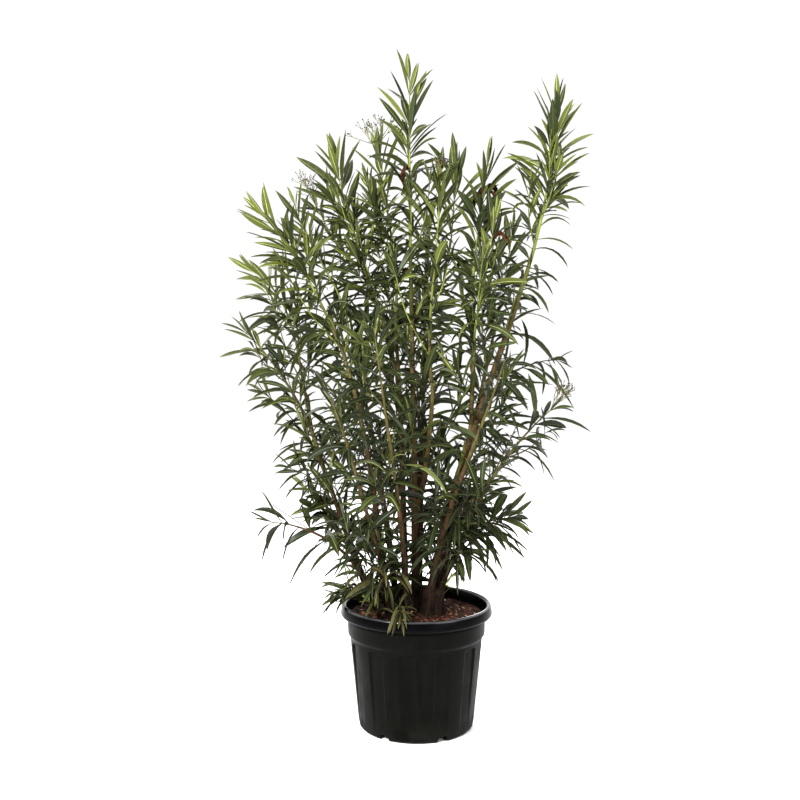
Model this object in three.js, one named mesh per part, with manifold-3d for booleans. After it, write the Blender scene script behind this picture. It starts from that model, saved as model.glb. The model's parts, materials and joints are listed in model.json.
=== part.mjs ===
// A potted oleander: a ribbed nursery pot filled with soil, brown stems that rise from it and fork, and the
// long, narrow masses of leaves that the stems carry. Millimetres, +Z up. The origin is the centre of the pot's
// underside, +X is to the plant's right and -Y is its front.
import * as THREE from "three";
import { mergeVertices } from "three/addons/utils/BufferGeometryUtils.js";
import Module from "manifold-3d";

const wasm = await Module();
wasm.setup();

// ---------------------------------------------------------------- driving dimensions

const SEAT_GAP = 0.3; // left between any two pieces that meet
const DEGREE = Math.PI / 180;

// The pot, upwards: a ribbed wall that widens, a smooth collar, a plain band and a lip that stands out.
const POT = {
  height: 329,
  baseRadius: 151,
  baseRound: 6, // height and depth of the rounded corner at the foot
  collarRadius: 172, // where the ribbed wall meets the collar
  bandRadius: 181,
  lipRadius: 199.5,
  lipSlope: 3.5, // the lip narrows by this much towards its top
  lipRound: 5,
  wall: 3,
  floor: 6,
  ribFoot: 24,
  collarFoot: 216,
  bandFoot: 245,
  lipFoot: 288,
  lipLow: 298, // where the lip is widest
  ribDepth: 4,
  ribs: 12, // raised panels, with as many sunk ones between them
};
const ROUND_SIDES = 48; // two to each panel of the pot's wall
const DRAIN = { count: 6, width: 27, height: 13, reach: 18, turn: 55.5 };
const SOIL_TOP = 297;

const STUMP = { foot: [36, -14], height: 82, radius: 29, sides: 14, lobes: 3, lobeShare: 0.08 };
const STUMP_PROFILE = [
  // share of its height, share of its radius
  [0, 1.25],
  [0.35, 1.02],
  [0.75, 0.98],
  [1, 0.9],
];

const FOOT_DEPTH = 6; // a stem is drawn from this far down and cut flat at the soil
const FLARE_HEIGHT = 55; // over which a stem swells into its root flare
const FLARE_SHARE = 0.55;
const TIP_GIRTH = 2.2; // radius of the wood at a shoot's far end
const TAPER_POWER = 0.85;

const STEM = { sides: 6, rings: [0, 0.07, 0.3, 0.55, 0.8, 1] };
const BOUGH_SIDES = 5;
const CROWN_MASS = { sides: 7, rings: 6 }; // round the upper part of a stem or bough
const TUFT_MASS = { sides: 6, rings: 5 };
const LAST_RING = 0.45; // of a ring's spacing: how far the last ring stands from the mass's point
const UNEVEN = { two: 0.1, three: 0.08, seedStep: 2.4 }; // swellings round a mass, as shares of its reach

// Each shoot rises from the soil, from the stump or from a place along another shoot. It heads one way in plan
// (0 is +X, 90 is +Y) and leans from the vertical by three angles: at its foot, half way and at its tip.
// girth is its foot's radius, bare the share of its length below its leaves, and spread their reach from the wood.
const SHOOTS = [
  // the main stems, with the mass of leaves that each carries at its top
  { name: "crest", foot: [-2, 14], heading: 237, lean: [0, 2, -1], length: 1451, girth: 12, bare: 0.56, spread: 84 },
  { name: "mate", foot: [-28, 34], heading: 168, lean: [1, 3, 8], length: 1285, girth: 10, bare: 0.62, spread: 86 },
  { name: "right", stump: [46, -14], heading: 1, lean: [6, 19, -3], length: 1355, girth: 14, bare: 0.66, spread: 74 },
  { name: "left_high", foot: [-70, -30], heading: 185, lean: [8, 14, 51], length: 1182, girth: 10, bare: 0.6, spread: 84 },
  { name: "left", foot: [-96, 10], heading: 187, lean: [27, 20, 51], length: 893, girth: 10, bare: 0.5, spread: 86 },
  { name: "front", foot: [-22, -62], heading: 246, lean: [4, 18, 14], length: 860, girth: 8, bare: 0.52, spread: 84 },
  { name: "front_left", foot: [-66, -66], heading: 226, lean: [7, 25, 24], length: 750, girth: 8, bare: 0.46, spread: 88 },
  { name: "front_right", stump: [36, -34], heading: 316, lean: [10, 25, 18], length: 730, girth: 10, bare: 0.44, spread: 86 },
  { name: "back_left", foot: [-52, 62], heading: 128, lean: [7, 18, 10], length: 1120, girth: 10, bare: 0.56, spread: 92 },
  { name: "back", foot: [8, 66], heading: 84, lean: [5, 17, 8], length: 1190, girth: 10, bare: 0.56, spread: 92 },
  { name: "back_right", foot: [62, 44], heading: 46, lean: [8, 20, 8], length: 1130, girth: 10, bare: 0.56, spread: 92 },
  // long boughs that fork from them
  { name: "fork", from: "crest", at: 0.17, heading: 310, lean: [20, 2, 6], length: 959, girth: 8, bare: 0.38, spread: 66 },
  { name: "right_inner", from: "right", at: 0.3, heading: 297, lean: [5, 6, 12], length: 759, girth: 8, bare: 0.34, spread: 68 },
  { name: "left_tall", from: "mate", at: 0.42, heading: 156, lean: [2, 22, 0], length: 769, girth: 7, bare: 0.42, spread: 74 },
  { name: "left_outer", from: "left", at: 0.42, heading: 164, lean: [28, 13, 70], length: 660, girth: 6, bare: 0.4, spread: 76 },
  // low shoots that spread over the pot's rim, one of them hanging in front of it
  { name: "low_left", foot: [-92, -60], heading: 195, lean: [12, 51, 107], length: 493, girth: 6, bare: 0.52, spread: 60 },
  { name: "right_low", stump: [60, -24], heading: 352, lean: [22, 31, 54], length: 632, girth: 9, bare: 0.34, spread: 90 },
  { name: "low_right", stump: [54, -6], heading: 348, lean: [34, 49, 141], length: 355, girth: 6, bare: 0.3, spread: 68 },
  { name: "rim", foot: [-52, -100], heading: 279, lean: [0, 108, 192], length: 262, girth: 3.5, bare: 0.34, spread: 28 },
];

// Shorter leafy shoots along the stems and boughs, which have no bare wood of their own.
const TUFTS = [
  { name: "right_sleeve", from: "right", at: 0.4, heading: 1, lean: [27, 18, 6], length: 440, spread: 96 },
  { name: "right_side", from: "right", at: 0.42, heading: 17, lean: [-10, 105, 74], length: 300, spread: 62 },
  { name: "right_back", from: "right", at: 0.38, heading: 48, lean: [36, 22, 8], length: 400, spread: 90 },
  { name: "right_inner_tip", from: "right_inner", at: 0.34, heading: 292, lean: [14, 20, 14], length: 396, spread: 62 },
  { name: "fork_tip", from: "fork", at: 0.52, heading: 58, lean: [21, 13, 14], length: 511, spread: 64 },
  { name: "mate_low", from: "mate", at: 0.26, heading: 175, lean: [38, 24, 14], length: 340, spread: 88 },
  { name: "left_high_in", from: "left_high", at: 0.6, heading: 144, lean: [7, 26, 11], length: 470, spread: 68 },
  { name: "left_tall_mid", from: "left_tall", at: 0.3, heading: 156, lean: [29, 30, 36], length: 440, spread: 68 },
  { name: "left_low", from: "left", at: 0.34, heading: 164, lean: [20, 38, 60], length: 440, spread: 80 },
  { name: "left_foot", from: "left", at: 0.2, heading: 196, lean: [4, 44, 85], length: 370, spread: 84 },
  { name: "left_skirt", from: "left", at: 0.05, heading: 205, lean: [70, 84, 110], length: 158, spread: 48 },
  { name: "front_left_low", from: "front_left", at: 0.14, heading: 226, lean: [36, 44, 40], length: 300, spread: 84 },
  { name: "front_right_low", from: "front_right", at: 0.16, heading: 330, lean: [36, 40, 34], length: 290, spread: 80 },
  { name: "back_left_low", from: "back_left", at: 0.2, heading: 140, lean: [34, 30, 20], length: 400, spread: 94 },
  { name: "back_low", from: "back", at: 0.2, heading: 90, lean: [30, 28, 16], length: 420, spread: 94 },
  { name: "back_right_low", from: "back_right", at: 0.2, heading: 34, lean: [34, 32, 20], length: 400, spread: 94 },
];

// How far leaves stand out along a mass, as a share of its spread: it opens quickly and closes bluntly.
const OUTLINE = new THREE.SplineCurve([
  new THREE.Vector2(0, 0.34),
  new THREE.Vector2(0.2, 0.86),
  new THREE.Vector2(0.45, 1),
  new THREE.Vector2(0.72, 0.86),
  new THREE.Vector2(0.9, 0.56),
  new THREE.Vector2(1, 0.3),
]);

// ---------------------------------------------------------------- closed surfaces and cuts

// A closed geometry from a first pole, rings of as many points each, and a last pole.
function ringGeometry(firstPole, rings, lastPole) {
  const sides = rings[0].length;
  const points = [firstPole, ...rings.flat(), lastPole];
  const last = points.length - 1;
  const at = (ring, side) => 1 + ring * sides + (side % sides);
  const faces = [];
  for (let side = 0; side < sides; side++) {
    faces.push(0, at(0, side + 1), at(0, side));
    for (let ring = 0; ring + 1 < rings.length; ring++) {
      faces.push(at(ring, side), at(ring, side + 1), at(ring + 1, side));
      faces.push(at(ring, side + 1), at(ring + 1, side + 1), at(ring + 1, side));
    }
    faces.push(last, at(rings.length - 1, side), at(rings.length - 1, side + 1));
  }
  return new THREE.BufferGeometry().setFromPoints(points).setIndex(faces);
}

function solidOf(geometry) {
  const plain = geometry.clone();
  plain.deleteAttribute("normal");
  plain.deleteAttribute("uv");
  const merged = mergeVertices(plain, 1e-3);
  return new wasm.Manifold(
    new wasm.Mesh({
      numProp: 3,
      vertProperties: merged.attributes.position.array,
      triVerts: new Uint32Array(merged.index.array),
    }),
  );
}

function geometryOf(solid) {
  const { vertProperties, triVerts } = solid.getMesh();
  return new THREE.BufferGeometry()
    .setAttribute("position", new THREE.BufferAttribute(new Float32Array(vertProperties), 3))
    .setIndex(new THREE.BufferAttribute(new Uint32Array(triVerts), 1));
}

const largestBody = (solid) => solid.decompose().sort((a, b) => b.volume() - a.volume())[0];

// ---------------------------------------------------------------- pot and soil

function circle(radius, z, [x, y] = [0, 0], sides = ROUND_SIDES) {
  return Array.from({ length: sides }, (_, i) => {
    const turn = (i / sides) * 2 * Math.PI;
    const reach = typeof radius === "function" ? radius(turn, i) : radius;
    return new THREE.Vector3(x + reach * Math.cos(turn), y + reach * Math.sin(turn), z);
  });
}

const wallRadius = (z) => THREE.MathUtils.mapLinear(z, 0, POT.collarFoot, POT.baseRadius, POT.collarRadius);
const insideRadius = (z) => wallRadius(z) - POT.ribDepth - POT.wall;
const BAND_INSIDE = POT.bandRadius - POT.wall - 1;
const COLLAR_INSIDE = insideRadius(POT.collarFoot);

// A ring of the wall with every other panel sunk by a depth.
function ribbedRing(z, depth) {
  const sidesPerPanel = ROUND_SIDES / POT.ribs / 2;
  const isSunk = (side) => Math.floor(side / sidesPerPanel) % 2 === 1;
  return circle((_, side) => wallRadius(z) - (isSunk(side) ? depth : 0), z);
}

function potGeometry() {
  const { height, baseRadius, baseRound, ribFoot, collarFoot, bandFoot, lipFoot, lipLow, lipRound } = POT;
  const lipTop = POT.lipRadius - POT.lipSlope;
  const under = [circle(baseRadius - baseRound - 1, 0), circle(baseRadius - 1, baseRound)];
  const wall = [ribbedRing(ribFoot, 0.5), ribbedRing(collarFoot - 8, POT.ribDepth), ribbedRing(collarFoot, 0)];
  const band = [
    circle(POT.collarRadius + 1.5, bandFoot - 8),
    circle(POT.bandRadius - 1, bandFoot),
    circle(POT.bandRadius, lipFoot - 4),
  ];
  const lip = [
    circle(POT.lipRadius - lipRound, lipFoot),
    circle(POT.lipRadius, lipLow),
    circle(lipTop, height - lipRound),
    circle(lipTop - lipRound, height),
  ];
  const inside = [
    circle(BAND_INSIDE + 7, height - lipRound),
    circle(BAND_INSIDE, lipFoot),
    circle(COLLAR_INSIDE, collarFoot),
    circle(insideRadius(POT.floor), POT.floor),
  ];
  return ringGeometry(
    new THREE.Vector3(0, 0, 0),
    [...under, ...wall, ...band, ...lip, ...inside],
    new THREE.Vector3(0, 0, POT.floor),
  );
}

// Notches round the foot let water out of the pot.
function drainedPot() {
  const notch = new THREE.BoxGeometry(2 * DRAIN.reach, DRAIN.width, 2 * DRAIN.height);
  let pot = solidOf(potGeometry());
  for (let i = 0; i < DRAIN.count; i++) {
    const placed = notch.clone();
    placed.translate(POT.baseRadius, 0, 0);
    placed.rotateZ((DRAIN.turn + (i * 360) / DRAIN.count) * DEGREE);
    pot = pot.subtract(solidOf(placed));
  }
  return pot;
}

// The soil fills the pot to a little below its lip and clears the wall by the seat gap.
function soilGeometry() {
  const foot = POT.floor + SEAT_GAP;
  const lipFoot = POT.lipFoot - SEAT_GAP;
  return ringGeometry(
    new THREE.Vector3(0, 0, foot),
    [
      circle(insideRadius(foot) - SEAT_GAP, foot),
      circle(COLLAR_INSIDE - SEAT_GAP, POT.collarFoot),
      circle(BAND_INSIDE - SEAT_GAP, lipFoot),
      circle(BAND_INSIDE - SEAT_GAP, SOIL_TOP),
    ],
    new THREE.Vector3(0, 0, SOIL_TOP),
  );
}

// ---------------------------------------------------------------- wood and leaves

const PATH_STEPS = 48;

// The lean at a share of the length: a parabola through the three stated angles.
const leanAt = ([foot, middle, tip], share) =>
  foot * (1 - share) * (1 - 2 * share) + middle * 4 * share * (1 - share) + tip * share * (2 * share - 1);

// A shoot's centre line, as functions of the share of its length: the point there, and the way the wood runs.
function pathOf({ start, heading, lean, length }) {
  const outward = new THREE.Vector3(Math.cos(heading * DEGREE), Math.sin(heading * DEGREE), 0);
  const across = new THREE.Vector3(-outward.y, outward.x, 0);
  const run = (share) => {
    const angle = leanAt(lean, share) * DEGREE;
    return outward.clone().multiplyScalar(Math.sin(angle)).setZ(Math.cos(angle));
  };
  const points = [start.clone()];
  for (let i = 0; i < PATH_STEPS; i++) {
    const step = run((i + 0.5) / PATH_STEPS).multiplyScalar(length / PATH_STEPS);
    points.push(points[i].clone().add(step));
  }
  const curve = new THREE.CatmullRomCurve3(points);
  const point = (share) => curve.getPoint(THREE.MathUtils.clamp(share, 0, 1));
  return { length, across, point, run };
}

// A ring round the path at a share of its length, with a radius that may change round it.
function ringOn(path, share, radiusAt, sides) {
  const centre = path.point(share);
  const up = new THREE.Vector3().crossVectors(path.run(share), path.across).normalize();
  return Array.from({ length: sides }, (_, i) => {
    const turn = (i / sides) * 2 * Math.PI;
    const radius = radiusAt(turn);
    return centre
      .clone()
      .addScaledVector(path.across, radius * Math.cos(turn))
      .addScaledVector(up, radius * Math.sin(turn));
  });
}

// The wood's radius at a share of a shoot: it tapers to the tip, and a stem swells into its foot.
function woodRadius(shoot, share) {
  const taper = THREE.MathUtils.lerp(shoot.girth, TIP_GIRTH, share ** TAPER_POWER);
  const rise = share * shoot.length;
  const flare = shoot.from ? 0 : FLARE_SHARE * Math.max(0, 1 - rise / FLARE_HEIGHT) ** 2;
  return taper * (1 + flare);
}

// The bare wood as a tapering limb, grown by an allowance on every side.
function limbSolid(shoot, grow = 0) {
  const { path, bare } = shoot;
  const sides = shoot.from ? BOUGH_SIDES : STEM.sides;
  const rings = STEM.rings.map((part) => {
    const share = part * bare;
    return ringOn(path, share, () => woodRadius(shoot, share) + grow, sides);
  });
  const foot = path.point(0).addScaledVector(path.run(0), -grow);
  const end = path.point(bare).addScaledVector(path.run(bare), grow);
  rings[0].forEach((point) => point.addScaledVector(path.run(0), -grow));
  rings.at(-1).forEach((point) => point.addScaledVector(path.run(bare), grow));
  return solidOf(ringGeometry(foot, rings, end));
}

// A mass of leaves round the upper part of a shoot, uneven round and along it.
function leafySolid(shoot, grow = 0) {
  const { path, bare, spread, seed } = shoot;
  const { sides, rings: count } = bare ? CROWN_MASS : TUFT_MASS;
  const foot = bare + SEAT_GAP / path.length;
  const rings = Array.from({ length: count }, (_, i) => {
    const along = i / (count - LAST_RING);
    const reach = spread * OUTLINE.getPoint(along).y;
    const uneven = (turn) =>
      1 + UNEVEN.two * Math.sin(2 * turn + seed + 4 * along) + UNEVEN.three * Math.sin(3 * turn - seed - 7 * along);
    return ringOn(path, foot + (1 - bare) * along, (turn) => reach * uneven(turn) + grow, sides);
  });
  const firstPole = path.point(foot).addScaledVector(path.run(foot), -grow);
  const lastPole = path.point(1).addScaledVector(path.run(1), grow);
  return solidOf(ringGeometry(firstPole, rings, lastPole));
}

// The stump: a short trunk with a root flare, from which the right-hand stems fork.
function stumpSolid(grow = 0) {
  const foot = SOIL_TOP + SEAT_GAP;
  const lobed = (share, swell) => (turn) =>
    STUMP.radius * swell * (1 + STUMP.lobeShare * Math.sin(STUMP.lobes * turn + 5 * share)) + grow;
  const heightAt = (share) => foot + share * STUMP.height + (share === 1 ? grow : 0);
  return solidOf(
    ringGeometry(
      new THREE.Vector3(...STUMP.foot, foot),
      STUMP_PROFILE.map(([share, swell]) => circle(lobed(share, swell), heightAt(share), STUMP.foot, STUMP.sides)),
      new THREE.Vector3(...STUMP.foot, heightAt(1)),
    ),
  );
}

// ---------------------------------------------------------------- the plant, piece by piece

const MATERIALS = {
  pot: new THREE.MeshStandardMaterial({ color: 0x191b18, roughness: 0.42, metalness: 0 }),
  soil: new THREE.MeshStandardMaterial({ color: 0x4a2c1e, roughness: 0.95, metalness: 0 }),
  bark: new THREE.MeshStandardMaterial({ color: 0x5b3d29, roughness: 0.85, metalness: 0 }),
  leaves: new THREE.MeshStandardMaterial({ color: 0x3b5a27, roughness: 0.55, metalness: 0 }),
};

const plant = new THREE.Group();

function add(name, geometry, material) {
  const mesh = new THREE.Mesh(geometry, material);
  mesh.name = name;
  plant.add(mesh);
}

function startOf({ from, at, stump, foot }, parents) {
  if (from) return parents.get(from).path.point(at);
  if (stump) return new THREE.Vector3(...stump, SOIL_TOP + STUMP.height * 0.8);
  return new THREE.Vector3(...foot, SOIL_TOP - FOOT_DEPTH);
}

const shoots = new Map();
[...SHOOTS, ...TUFTS].forEach((plan, i) => {
  const shoot = { bare: 0, seed: i * UNEVEN.seedStep, start: startOf(plan, shoots), ...plan };
  shoot.path = pathOf(shoot);
  shoots.set(shoot.name, shoot);
});

const pot = drainedPot();
const soil = soilGeometry();
add("pot", geometryOf(pot), MATERIALS.pot);
add("soil", soil, MATERIALS.soil);
add("stump", geometryOf(stumpSolid()), MATERIALS.bark);

// Each piece is cut clear of all that were placed before it: the soil cuts the stems' feet flat, and the wood
// comes before the leaves.
const placed = [solidOf(soil).translate([0, 0, SEAT_GAP]), pot, stumpSolid(SEAT_GAP)];
function place(name, make, material) {
  const cut = placed.reduce((left, other) => left.subtract(other), make(0));
  add(name, geometryOf(largestBody(cut)), material);
  placed.push(make(SEAT_GAP));
}

const all = [...shoots.values()];
for (const shoot of all.filter(({ bare }) => bare > 0)) {
  const kind = shoot.from ? "bough" : "stem";
  place(`${shoot.name}_${kind}`, (grow) => limbSolid(shoot, grow), MATERIALS.bark);
}
for (const shoot of all) place(`${shoot.name}_leaves`, (grow) => leafySolid(shoot, grow), MATERIALS.leaves);

export default plant;
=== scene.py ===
# %% [markdown]
# # A potted oleander
# This lesson dresses a plain model of a potted oleander: a ribbed nursery pot, its compost, brown forking
# stems and long plumes of narrow leaves. The plain model gives every place and size. Each step adds one
# thing that a visitor to a nursery would see, from the bark to the moulded ribs of the pot and the old
# flower stalks.

import json
import math

import bpy
import numpy as np
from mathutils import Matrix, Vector
from mathutils.bvhtree import BVHTree

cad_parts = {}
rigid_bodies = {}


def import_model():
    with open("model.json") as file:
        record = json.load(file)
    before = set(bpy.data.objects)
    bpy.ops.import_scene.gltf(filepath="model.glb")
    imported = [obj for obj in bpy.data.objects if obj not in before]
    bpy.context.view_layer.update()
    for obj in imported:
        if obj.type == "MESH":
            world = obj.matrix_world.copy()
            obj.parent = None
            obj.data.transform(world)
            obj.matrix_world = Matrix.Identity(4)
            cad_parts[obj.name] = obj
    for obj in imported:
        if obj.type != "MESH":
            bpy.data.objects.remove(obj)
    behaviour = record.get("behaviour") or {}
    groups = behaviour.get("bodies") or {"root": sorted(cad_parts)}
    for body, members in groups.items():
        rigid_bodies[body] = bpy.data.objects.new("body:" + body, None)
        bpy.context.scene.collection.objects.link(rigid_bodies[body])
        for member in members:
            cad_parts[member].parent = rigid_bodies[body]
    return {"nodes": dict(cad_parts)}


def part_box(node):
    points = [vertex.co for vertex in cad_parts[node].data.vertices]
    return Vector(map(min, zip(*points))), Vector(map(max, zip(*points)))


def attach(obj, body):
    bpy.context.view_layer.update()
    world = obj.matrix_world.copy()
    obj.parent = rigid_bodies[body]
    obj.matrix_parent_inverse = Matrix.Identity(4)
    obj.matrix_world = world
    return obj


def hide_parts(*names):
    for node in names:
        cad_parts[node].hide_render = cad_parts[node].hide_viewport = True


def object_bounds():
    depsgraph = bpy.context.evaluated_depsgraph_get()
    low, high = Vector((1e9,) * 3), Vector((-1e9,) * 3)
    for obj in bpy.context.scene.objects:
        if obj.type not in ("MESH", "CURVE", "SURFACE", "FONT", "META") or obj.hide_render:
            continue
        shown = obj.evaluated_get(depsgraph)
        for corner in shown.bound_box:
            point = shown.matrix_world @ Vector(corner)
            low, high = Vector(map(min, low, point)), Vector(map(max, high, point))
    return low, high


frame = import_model()
CAD_BOX = [list(corner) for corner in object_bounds()]
MM = 0.001
UP = np.array([0.0, 0.0, 1.0])
print("plain model, in metres:", CAD_BOX)

# %% [markdown]
# ## Camera and lights
# The plant is seen from a little above its middle, from about three metres, with a normal lens, so the
# camera looks down only slightly. Nursery pictures use one large soft light near the camera and a bright
# surround, so that leaves show their own colour and shadows stay open. Three area lamps and a bright world
# do that.

# %% Camera
EYE = (-0.043, -2.877, 1.081)
LOOK_DOWN = math.radians(4.37)
LENS_MM = 50


def add_camera():
    camera = bpy.data.objects.new("camera", bpy.data.cameras.new("camera"))
    camera.data.lens = LENS_MM
    camera.location = EYE
    camera.rotation_euler = (math.pi / 2 - LOOK_DOWN, 0, 0)
    bpy.context.scene.collection.objects.link(camera)
    bpy.context.scene.camera = camera


add_camera()
print("camera at", EYE, "with a lens of", LENS_MM, "mm")

# %% Lights
PLANT_MIDDLE = (0, 0, 0.9)
LAMPS = {  # where each lamp stands, its width in metres and its power in watts
    "key light": ((-1.9, -3.0, 2.8), 1.1, 430),
    "fill light": ((2.4, -2.4, 1.6), 2.0, 60),
    "back light": ((0.6, 2.8, 2.6), 1.8, 120),
}
WORLD_BRIGHTNESS = 1.05


def add_lamp(name, place, width, power):
    """A square lamp that faces the middle of the plant."""
    lamp = bpy.data.lights.new(name, "AREA")
    lamp.size = width
    lamp.energy = power
    holder = bpy.data.objects.new(name, lamp)
    holder.location = place
    holder.rotation_euler = (Vector(PLANT_MIDDLE) - Vector(place)).to_track_quat("-Z", "Y").to_euler()
    bpy.context.scene.collection.objects.link(holder)


def add_world(brightness):
    world = bpy.data.worlds.new("studio")
    world.use_nodes = True
    background = world.node_tree.nodes["Background"]
    background.inputs["Color"].default_value = (1, 1, 1, 1)
    background.inputs["Strength"].default_value = brightness
    bpy.context.scene.world = world


add_world(WORLD_BRIGHTNESS)
for name, (place, width, power) in LAMPS.items():
    add_lamp(name, place, width, power)
bpy.context.scene.view_settings.view_transform = "Standard"
print(len(LAMPS), "lamps and a world of brightness", WORLD_BRIGHTNESS)

# %% [markdown]
# ## Writing finishes as sums
# A finish is a small network of nodes. Writing it as sums keeps it readable, so `Signal` wraps one socket
# and turns `+`, `-` and `*` into Math nodes, and `Finish` holds a material and makes any other node from
# its type, its settings and its sockets. Colours are mixed by a node of their own, because a Math node
# would turn them grey.

# %% Signals
class Signal:
    """One output socket of a finish, which adds and multiplies as a number does."""

    def __init__(self, finish, socket):
        self.finish = finish
        self.socket = socket

    def math(self, operation, first, second):
        return self.finish.node("ShaderNodeMath", {"operation": operation}, {0: first, 1: second})

    def __add__(self, other):
        return self.math("ADD", self, other)

    __radd__ = __add__

    def __mul__(self, other):
        return self.math("MULTIPLY", self, other)

    __rmul__ = __mul__

    def __sub__(self, other):
        return self.math("SUBTRACT", self, other)

    def __rsub__(self, other):
        return self.math("SUBTRACT", other, self)

    def ramp(self, low, high, to_low=0.0, to_high=1.0):
        """This value eased from to_low at low to to_high at high."""
        settings = {"interpolation_type": "SMOOTHSTEP"}
        inputs = {"Value": self, "From Min": low, "From Max": high, "To Min": to_low, "To Max": to_high}
        return self.finish.node("ShaderNodeMapRange", settings, inputs, "Result")


# %% Finishes
class Finish:
    """A material being made: its constants first, then what changes over the surface."""

    def __init__(self, name, **constants):
        self.material = bpy.data.materials.new(name)
        self.material.use_nodes = True
        self.tree = self.material.node_tree
        self.shader = self.tree.nodes["Principled BSDF"]
        self.set(**constants)

    def set(self, **sockets):
        """Gives the shader's sockets values or signals. An underscore stands for a space in a name."""
        for key, value in sockets.items():
            self.fill(self.shader.inputs[key.replace("_", " ")], value)

    def fill(self, socket, value):
        if isinstance(value, Signal):
            self.tree.links.new(value.socket, socket)
        else:
            socket.default_value = value

    def node(self, kind, settings=None, inputs=None, output=0):
        """Any node: its settings go in first, then values or signals for its sockets."""
        made = self.tree.nodes.new(kind)
        for key, value in (settings or {}).items():
            setattr(made, key, value)
        for key, value in (inputs or {}).items():
            self.fill(made.inputs[key], value)
        return Signal(self, made.outputs[output])

    def place(self, stretch=(1, 1, 1)):
        """Where a point is in the object, in metres, multiplied along each axis."""
        where = self.node("ShaderNodeTexCoord", output="Object")
        return self.node("ShaderNodeVectorMath", {"operation": "MULTIPLY"}, {0: where, 1: stretch})

    def height(self):
        """How high a point is, in metres."""
        return self.node("ShaderNodeSeparateXYZ", {}, {0: self.place()}, "Z")

    def noise(self, scale, detail=3.0, roughness=0.55, stretch=(1, 1, 1)):
        inputs = {"Vector": self.place(stretch), "Scale": scale, "Detail": detail, "Roughness": roughness}
        return self.node("ShaderNodeTexNoise", {}, inputs, "Fac")

    def blend(self, share, first, second):
        """The first colour turning into the second as share goes from 0 to 1."""
        inputs = {0: share, 6: first, 7: second}  # 6 and 7 are the Mix node's colours, and 2 its mixed one
        return self.node("ShaderNodeMix", {"data_type": "RGBA"}, inputs, output=2)

    def bump(self, height, distance):
        """Raises the surface by height times distance, in metres, and ends the finish."""
        self.set(Normal=self.node("ShaderNodeBump", {}, {"Height": height, "Distance": distance}))
        return self


# %% Colours
def linear(value):
    """A screen value from 0 to 255 as the share of light that it stands for."""
    share = value / 255
    return share / 12.92 if share <= 0.04045 else ((share + 0.055) / 1.055) ** 2.4


def colour(red, green, blue):
    """A colour given as screen values from 0 to 255, as the shader wants it."""
    return (linear(red), linear(green), linear(blue), 1.0)


print("screen grey 128 is", round(linear(128), 3), "of full light")

# %% [markdown] ## Floor The plant stands on a plain pale floor. One matt square does, so wide that
# its edge is never seen.

# %% The floor
FLOOR_SIZE = 60


def add_floor():
    mesh = bpy.data.meshes.new("floor")
    half = FLOOR_SIZE / 2
    corners = [(-half, -half, 0), (half, -half, 0), (half, half, 0), (-half, half, 0)]
    mesh.from_pydata(corners, [], [(0, 1, 2, 3)])
    mesh.materials.append(Finish("pale floor", Base_Color=(0.97, 0.97, 0.97, 1), Roughness=0.9).material)
    floor = bpy.data.objects.new("floor", mesh)
    bpy.context.scene.collection.objects.link(floor)


add_floor()
print("floor", FLOOR_SIZE, "m wide")

# %% [markdown]
# ## Making a piece
# Every piece here is one mesh made from arrays. A `Pile` gathers the corners and faces of many small
# shapes, with the finish that each face takes. Then one helper turns the pile into an object, shades it
# smooth but for its sharp edges, sets it on the body that it rides on and hides the plain parts that it
# stands for.

# %% A pile of shapes
class Pile:
    """Corners and faces gathered for one joined piece, with a finish number for each face."""

    def __init__(self):
        self.corners = []
        self.values = []
        self.count = 0
        self.groups = {}

    def add(self, corners, groups, finishes=0, values=None):
        """groups are arrays of faces. finishes is one number, or a list with the numbers for each group."""
        for i, faces in enumerate(groups):
            marks = np.broadcast_to(finishes[i] if isinstance(finishes, list) else finishes, len(faces))
            self.groups.setdefault(faces.shape[1], []).append((faces + self.count, marks))
        self.corners.append(corners)
        self.values.append(np.zeros(len(corners)) if values is None else values)
        self.count += len(corners)


# %% From a pile to an object
SHARP_ABOVE = math.radians(62)


def add_piece(name, pile, finishes, replaces=(), value_name=None, sharp=SHARP_ABOVE):
    """Makes a pile into an object. Under value_name, the mesh keeps the pile's values for the finish."""
    loops, sizes, marks = [], [], []
    for size, groups in pile.groups.items():
        for faces, finish in groups:
            loops.append(faces.ravel())
            sizes.append(np.full(len(faces), size))
            marks.append(finish)
    loops, sizes, marks = np.concatenate(loops), np.concatenate(sizes), np.concatenate(marks)
    mesh = bpy.data.meshes.new(name)
    mesh.vertices.add(pile.count)
    mesh.vertices.foreach_set("co", np.concatenate(pile.corners).astype(np.float32).ravel())
    mesh.loops.add(len(loops))
    mesh.loops.foreach_set("vertex_index", loops.astype(np.int32))
    mesh.polygons.add(len(sizes))
    mesh.polygons.foreach_set("loop_start", np.r_[0, np.cumsum(sizes)[:-1]].astype(np.int32))
    mesh.polygons.foreach_set("material_index", marks.astype(np.int32))
    mesh.polygons.foreach_set("use_smooth", np.ones(len(sizes), bool))
    mesh.update(calc_edges=True)
    mesh.set_sharp_from_angle(angle=sharp)
    if value_name:
        attribute = mesh.attributes.new(value_name, "FLOAT", "POINT")
        attribute.data.foreach_set("value", np.concatenate(pile.values).astype(np.float32))
    for finish in finishes:
        mesh.materials.append(finish.material)
    piece = bpy.data.objects.new(name, mesh)
    bpy.context.scene.collection.objects.link(piece)
    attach(piece, "root")
    if replaces:
        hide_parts(*replaces)
    print(f"{name}: {int((sizes - 2).sum())} triangles")
    return piece


# %% Rings of points
def ring_faces(rings, sides):
    """Quads that join rings of points, each ring to the next, as indexes into the points in order."""
    ring, side = np.meshgrid(np.arange(rings - 1), np.arange(sides), indexing="ij")
    here = ring * sides + side
    beside = ring * sides + (side + 1) % sides
    return np.stack([here, beside, beside + sides, here + sides], -1).reshape(-1, 4)


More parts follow.
